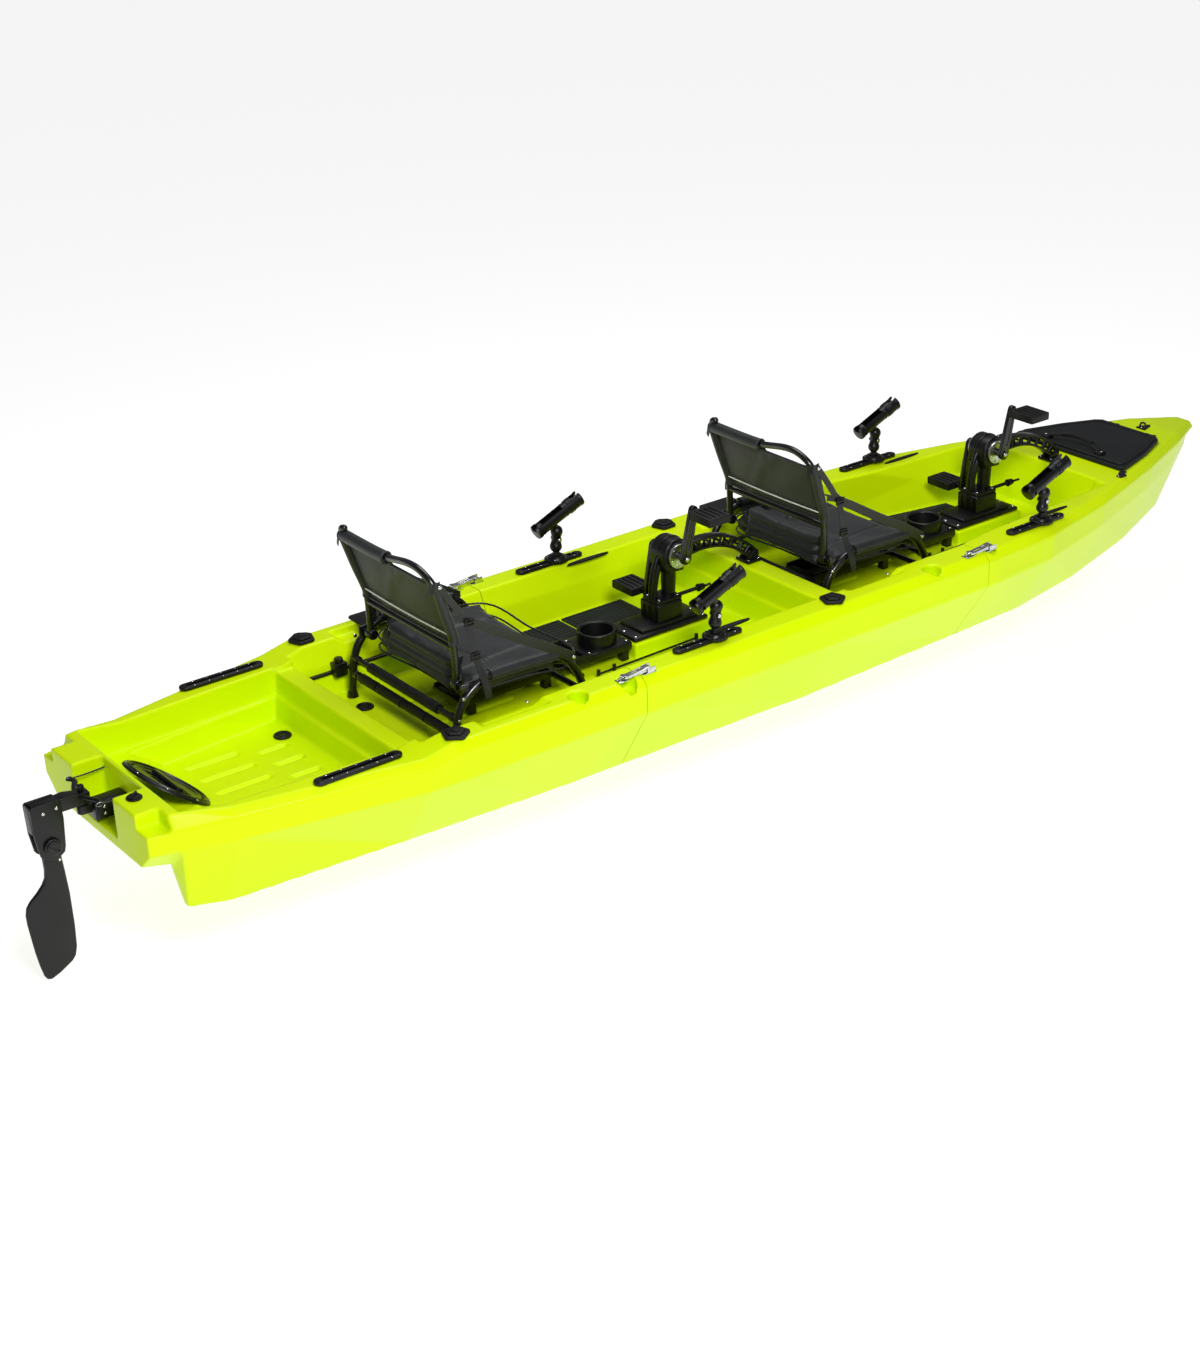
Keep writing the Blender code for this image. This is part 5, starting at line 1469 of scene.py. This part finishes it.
# Floor fittings: tray with cup holder, ribbed foam mats
def buildTray():
    pan = roundEdges(addBox("rear_tray_pan", (-0.980, -0.067, 0.1865), (-0.405, 0.067, 0.2115)), 0.006, 3)
    cut(pan, roundEdges(addBox("channel", (-0.962, -0.054, 0.1960), (-0.560, 0.054, 0.2400)), 0.006, 3),
        addRound("cupWell", (-0.478, 0, 0.1940), (-0.478, 0, 0.2600), 0.0440, 48))
    for x in (-0.66, -0.76, -0.86):
        cut(pan, addBox("drain", (x - 0.028, -0.010, 0.15), (x + 0.028, 0.010, 0.22)))
    cup = addRound("cup", (-0.478, 0, 0.1880), (-0.478, 0, 0.2475), 0.0530, 56, 0.0558)
    cut(cup, addRound("bore", (-0.478, 0, 0.1940), (-0.478, 0, 0.3000), 0.0440, 56, 0.0475))
    roundEdges(cup, 0.0022, 3)
    lip = addRing("lip", (-0.478, 0, 0.2450), 0.0528, 0.0042, (0, 0, 1), 56, 10)
    rails = [roundEdges(addBox("rail", (-0.975, y - 0.0045, 0.2050), (-0.548, y + 0.0045, 0.2170)), 0.002, 2)
             for y in (-0.0615, 0.0615)]
    feet = [roundEdges(addBox("foot", (x - 0.012, y - 0.012, 0.1553), (x + 0.012, y + 0.012, 0.1900)), 0.003)
            for x in (-0.935, -0.690, -0.425) for y in (-0.048, 0.048)]
    bosses = [roundEdges(addRound("boss", (x, y, 0.2095), (x, y, 0.2140), 0.0085, 20), 0.001)
              for x in (-0.545, -0.418) for y in (-0.054, 0.054)]
    tray = gather(pan, cup, lip, *rails, *feet, *bosses)
    spread(tray, "hull", nylon, "black_plastic", "rear_tray", angle=40)
    spread(studs("rear_tray_screws", [(x, y, 0.2140) for x in (-0.545, -0.418) for y in (-0.054, 0.054)],
                 0.0044, (0, 0, 1)), "hull", stainless, "stainless")
    rod = [addTube("pushRod", smoothPath([(-0.560, -0.108, 0.1720), (-0.420, -0.104, 0.1715),
                                          (-0.200, -0.098, 0.1720)], 6), 0.0032, 10)]
    for x, y in ((-0.555, -0.108), (-0.500, -0.1065), (-0.205, -0.098)):
        rod.append(roundEdges(addRound("peg", (x, y, 0.1553), (x, y, 0.1850), 0.0055, 12), 0.001))
    rod = gather(*rod)
    rod.name = "rear_floor_rod"
    spread(rod, "hull", nylon, "black_plastic")


mats = {"rear": ((0.284, 0.284), (0.284, 0.284)), "front": ((0.278, 0.2495), (0.2435, 0.202))}


def buildMats():
    z = floorZ + 0.0003
    for station, shift in stations.items():
        pads = []
        for (x0, x1), (aftEdge, foreEdge) in zip(((-0.608, -0.408), (-0.398, -0.182)), mats[station]):
            pad = addPlate("pad", [(x0 + shift, 0.087), (x1 + shift, 0.087), (x1 + shift, foreEdge - 0.001),
                                   (x0 + shift, aftEdge - 0.001)], z, z + 0.0058)
            pads.append(roundEdges(pad, 0.0012, 2))
            count = 13
            for i in range(count):
                y = 0.095 + i * 0.0148
                edge = min(aftEdge, foreEdge) - 0.008
                if y > edge:
                    break
                rib = addBox("rib", (x0 + 0.008 + shift, y - 0.0042, z + 0.0045),
                             (x1 - 0.008 + shift, y + 0.0042, z + 0.0079))
                pads.append(roundEdges(rib, 0.0014, 2))
        mat = gather(*pads)
        mat.name = station + "_ribbed_mat"
        settle(mat, "hull", evaFoam, "floor_foam", station + "_floor_mat")


buildTray()
buildMats()
print("floor fittings built")


# Bow: hatch lid with rolled edge, strap handle, hinges, corner strap, tow eye
lid = {"outline": [(1.392, 0.214), (1.402, 0.226), (1.420, 0.228), (1.560, 0.184), (1.672, 0.134),
                   (1.690, 0.115)], "base": 0.3003}


def scaled(outline, amount, centreX=1.540):
    return [(centreX + (x - centreX) * amount, y * amount) for x, y in outline]


def buildBowLid():
    whole = lid["outline"] + [(x, -y) for x, y in reversed(lid["outline"])]
    z = lid["base"]
    rim = roundEdges(addPlate("bow_lid_shell", whole, z, z + 0.0130), 0.0030, 3)
    crown = roundEdges(addPlate("crown", scaled(whole, 0.935), z + 0.010, z + 0.0205), 0.0035, 3)
    cut(crown, addPlate("panel", scaled(whole, 0.83), z + 0.0190, z + 0.030))
    knuckles = []
    for sign in (1, -1):
        for y0, y1 in ((0.060, 0.070), (0.084, 0.095)):
            knuckles.append(roundEdges(addRound("knuckle", (1.700, sign * y0, 0.306),
                                                (1.700, sign * y1, 0.306),
                                                0.0054, 20), 0.0008))
        knuckles.append(roundEdges(addBox("leaf", (1.676, sign * 0.0775 - 0.0150, 0.3035),
                                          (1.699, sign * 0.0775 + 0.0150, 0.3085)), 0.001))
    shell = gather(rim, crown, *knuckles)
    settle(shell, "bow_lid", lidPlastic, "hatch_lid", "bow_hatch_lid")
    pins = []
    for sign in (1, -1):
        pins.append(addRound("pin", (1.700, sign * 0.0700, 0.306), (1.700, sign * 0.0840, 0.306), 0.0050, 18))
        pins.append(roundEdges(addBox("tail", (1.6990, sign * 0.077 - 0.006, 0.2990),
                                      (1.7240, sign * 0.077 + 0.006, 0.3030)), 0.001))
    hinge = gather(*pins)
    hinge.name = "bow_lid_hinge_tails"
    settle(hinge, "hull", nylon, "black_plastic")

    top = z + 0.0205
    path = smoothPath([(1.424, -0.110, top + 0.0080), (1.432, -0.082, top + 0.0140),
                       (1.446, -0.045, top + 0.0200), (1.450, 0.0, top + 0.0215),
                       (1.446, 0.045, top + 0.0200), (1.432, 0.082, top + 0.0140),
                       (1.424, 0.110, top + 0.0080)], 6)
    strap = addBand("bow_lid_grip", path, 0.0200, (1, 0, 0.1), None, 0.0045)
    roundEdges(strap, 0.0016, 2)
    grip = addTube("grip", path[9:-9], 0.0075, 14)
    feet = [roundEdges(addBox("foot", (1.409, sign * 0.110 - 0.0145, top - 0.0005),
                              (1.438, sign * 0.110 + 0.0145, top + 0.0090)), 0.003, 3) for sign in (1, -1)]
    settle(gather(strap, grip, *feet), "bow_lid", rubber, "rubber", "bow_lid_handle")
    settle(studs("bow_lid_rivets", [(1.4235, s * 0.117, top + 0.0090) for s in (1, -1)], 0.0045, (0, 0, 1)),
           "bow_lid", stainless, "stainless")

    # rubber hold-down at the lid's aft corners, tow eye at the tip
    holds = []
    for sign in (1, -1):
        holds.append(addBand("hold", smoothPath([(1.398, sign * 0.232, 0.3030), (1.385, sign * 0.240, 0.3065),
                                                 (1.368, sign * 0.250, 0.3030)], 5), 0.020,
                             (0.6, sign * 1.0, 0), None, 0.004))
        holds.append(roundEdges(addBox("pad", (1.350, sign * 0.254 - 0.010, 0.2995),
                                       (1.378, sign * 0.254 + 0.010, 0.3050)), 0.002))
    holds = gather(*holds)
    holds.name = "bow_lid_hold_downs"
    settle(holds, "hull", rubber, "rubber")
    eye = roundEdges(addPlate("bow_tow_eye", [(1.742, -0.019), (1.742, 0.019), (1.784, 0.006), (1.790, 0.0),
                                              (1.784, -0.006)], 0.2965, 0.3035), 0.002, 3)
    loop = addTube("loop", smoothPath([(1.750, -0.010, 0.302), (1.756, -0.008, 0.3150),
                                       (1.756, 0.008, 0.3150),
                                       (1.750, 0.010, 0.302)], 6), 0.0032, 12)
    settle(gather(eye, loop), "hull", nylon, "black_plastic")
    settle(studs("bow_deck_screws", [(1.748, 0.0, 0.3034), (1.350, 0.254, 0.305), (1.350, -0.254, 0.305)],
                 0.0036, (0, 0, 1)), "hull", stainless, "stainless")


buildBowLid()
print("bow fittings built")


# the finish of every CAD node that stays
slotFinish = {"hull": polyethylene, "black_plastic": nylon, "black_metal": powderCoat,
              "seat_tube": powderCoat, "seat_fabric": seatFabric, "floor_foam": evaFoam,
              "hatch_lid": lidPlastic, "rubber": rubber, "stainless": stainless}
for entry in frame["record"]["subparts"]:
    node = frame["nodes"][entry["node"]]
    node.data.materials.clear()
    node.data.materials.append(slotFinish[entry["material_slot"]])

# studio: pale floor, even bright surroundings, two big soft lamps, the viewing camera
studio = {"floorZ": -0.192, "floor": "#A8A8A8", "glowColour": "#FFFFFF", "floorGlow": 0.84,
          "world": "#FFFFFF", "worldStrength": 0.17}


def buildStudio():
    bpy.ops.object.select_all(action="DESELECT")
    bpy.ops.mesh.primitive_plane_add(size=60, location=(0, 0, studio["floorZ"]))
    floor = bpy.context.object
    floor.name = "studio_floor"
    mat = startMaterial("matt_paper_floor", {"Base Color": studio["floor"], "Roughness": 1.0,
                                                   "Specular IOR Level": 0.0,
                                                   "Emission Color": studio["glowColour"],
                                                   "Emission Strength": studio["floorGlow"]})[0]
    floor.data.materials.append(mat)
    world = bpy.data.worlds.new("studio_surround")
    world.use_nodes = True
    background = world.node_tree.nodes["Background"]
    background.inputs["Color"].default_value = hexColour(studio["world"])
    background.inputs["Strength"].default_value = studio["worldStrength"]
    bpy.context.scene.world = world
    for name, place, aim, size, power in (
            ("keySoftbox", (-2.2, -3.6, 3.4), (0, 0, 0.1), 1.3, 182),
            ("topSoftbox", (0.6, 0.8, 3.8), (0, 0, 0.1), 2.2, 66)):
        lamp = bpy.data.lights.new(name, "AREA")
        lamp.shape = "SQUARE"
        lamp.size = size
        lamp.energy = power
        holder = bpy.data.objects.new(name, lamp)
        holder.location = place
        holder.rotation_euler = (Vector(aim) - Vector(place)).to_track_quat("-Z", "Y").to_euler()
        bpy.context.scene.collection.objects.link(holder)


def buildCamera():
    lens = bpy.data.cameras.new("viewCamera")
    lens.lens = 59.82
    lens.sensor_width = 36
    camera = bpy.data.objects.new("viewCamera", lens)
    forward = Vector((0.5291185, 0.7307491, -0.4313228))
    up = Vector((0.2858551, 0.3250938, 0.9014438))
    right = forward.cross(up)
    camera.matrix_world = Matrix.Translation((-3.84050, -4.64918, 2.81605)) @ \
        Matrix((right, up, -forward)).transposed().to_4x4()
    bpy.context.scene.collection.objects.link(camera)
    bpy.context.scene.camera = camera


buildStudio()
buildCamera()
bpy.context.scene.view_settings.view_transform = "Standard"
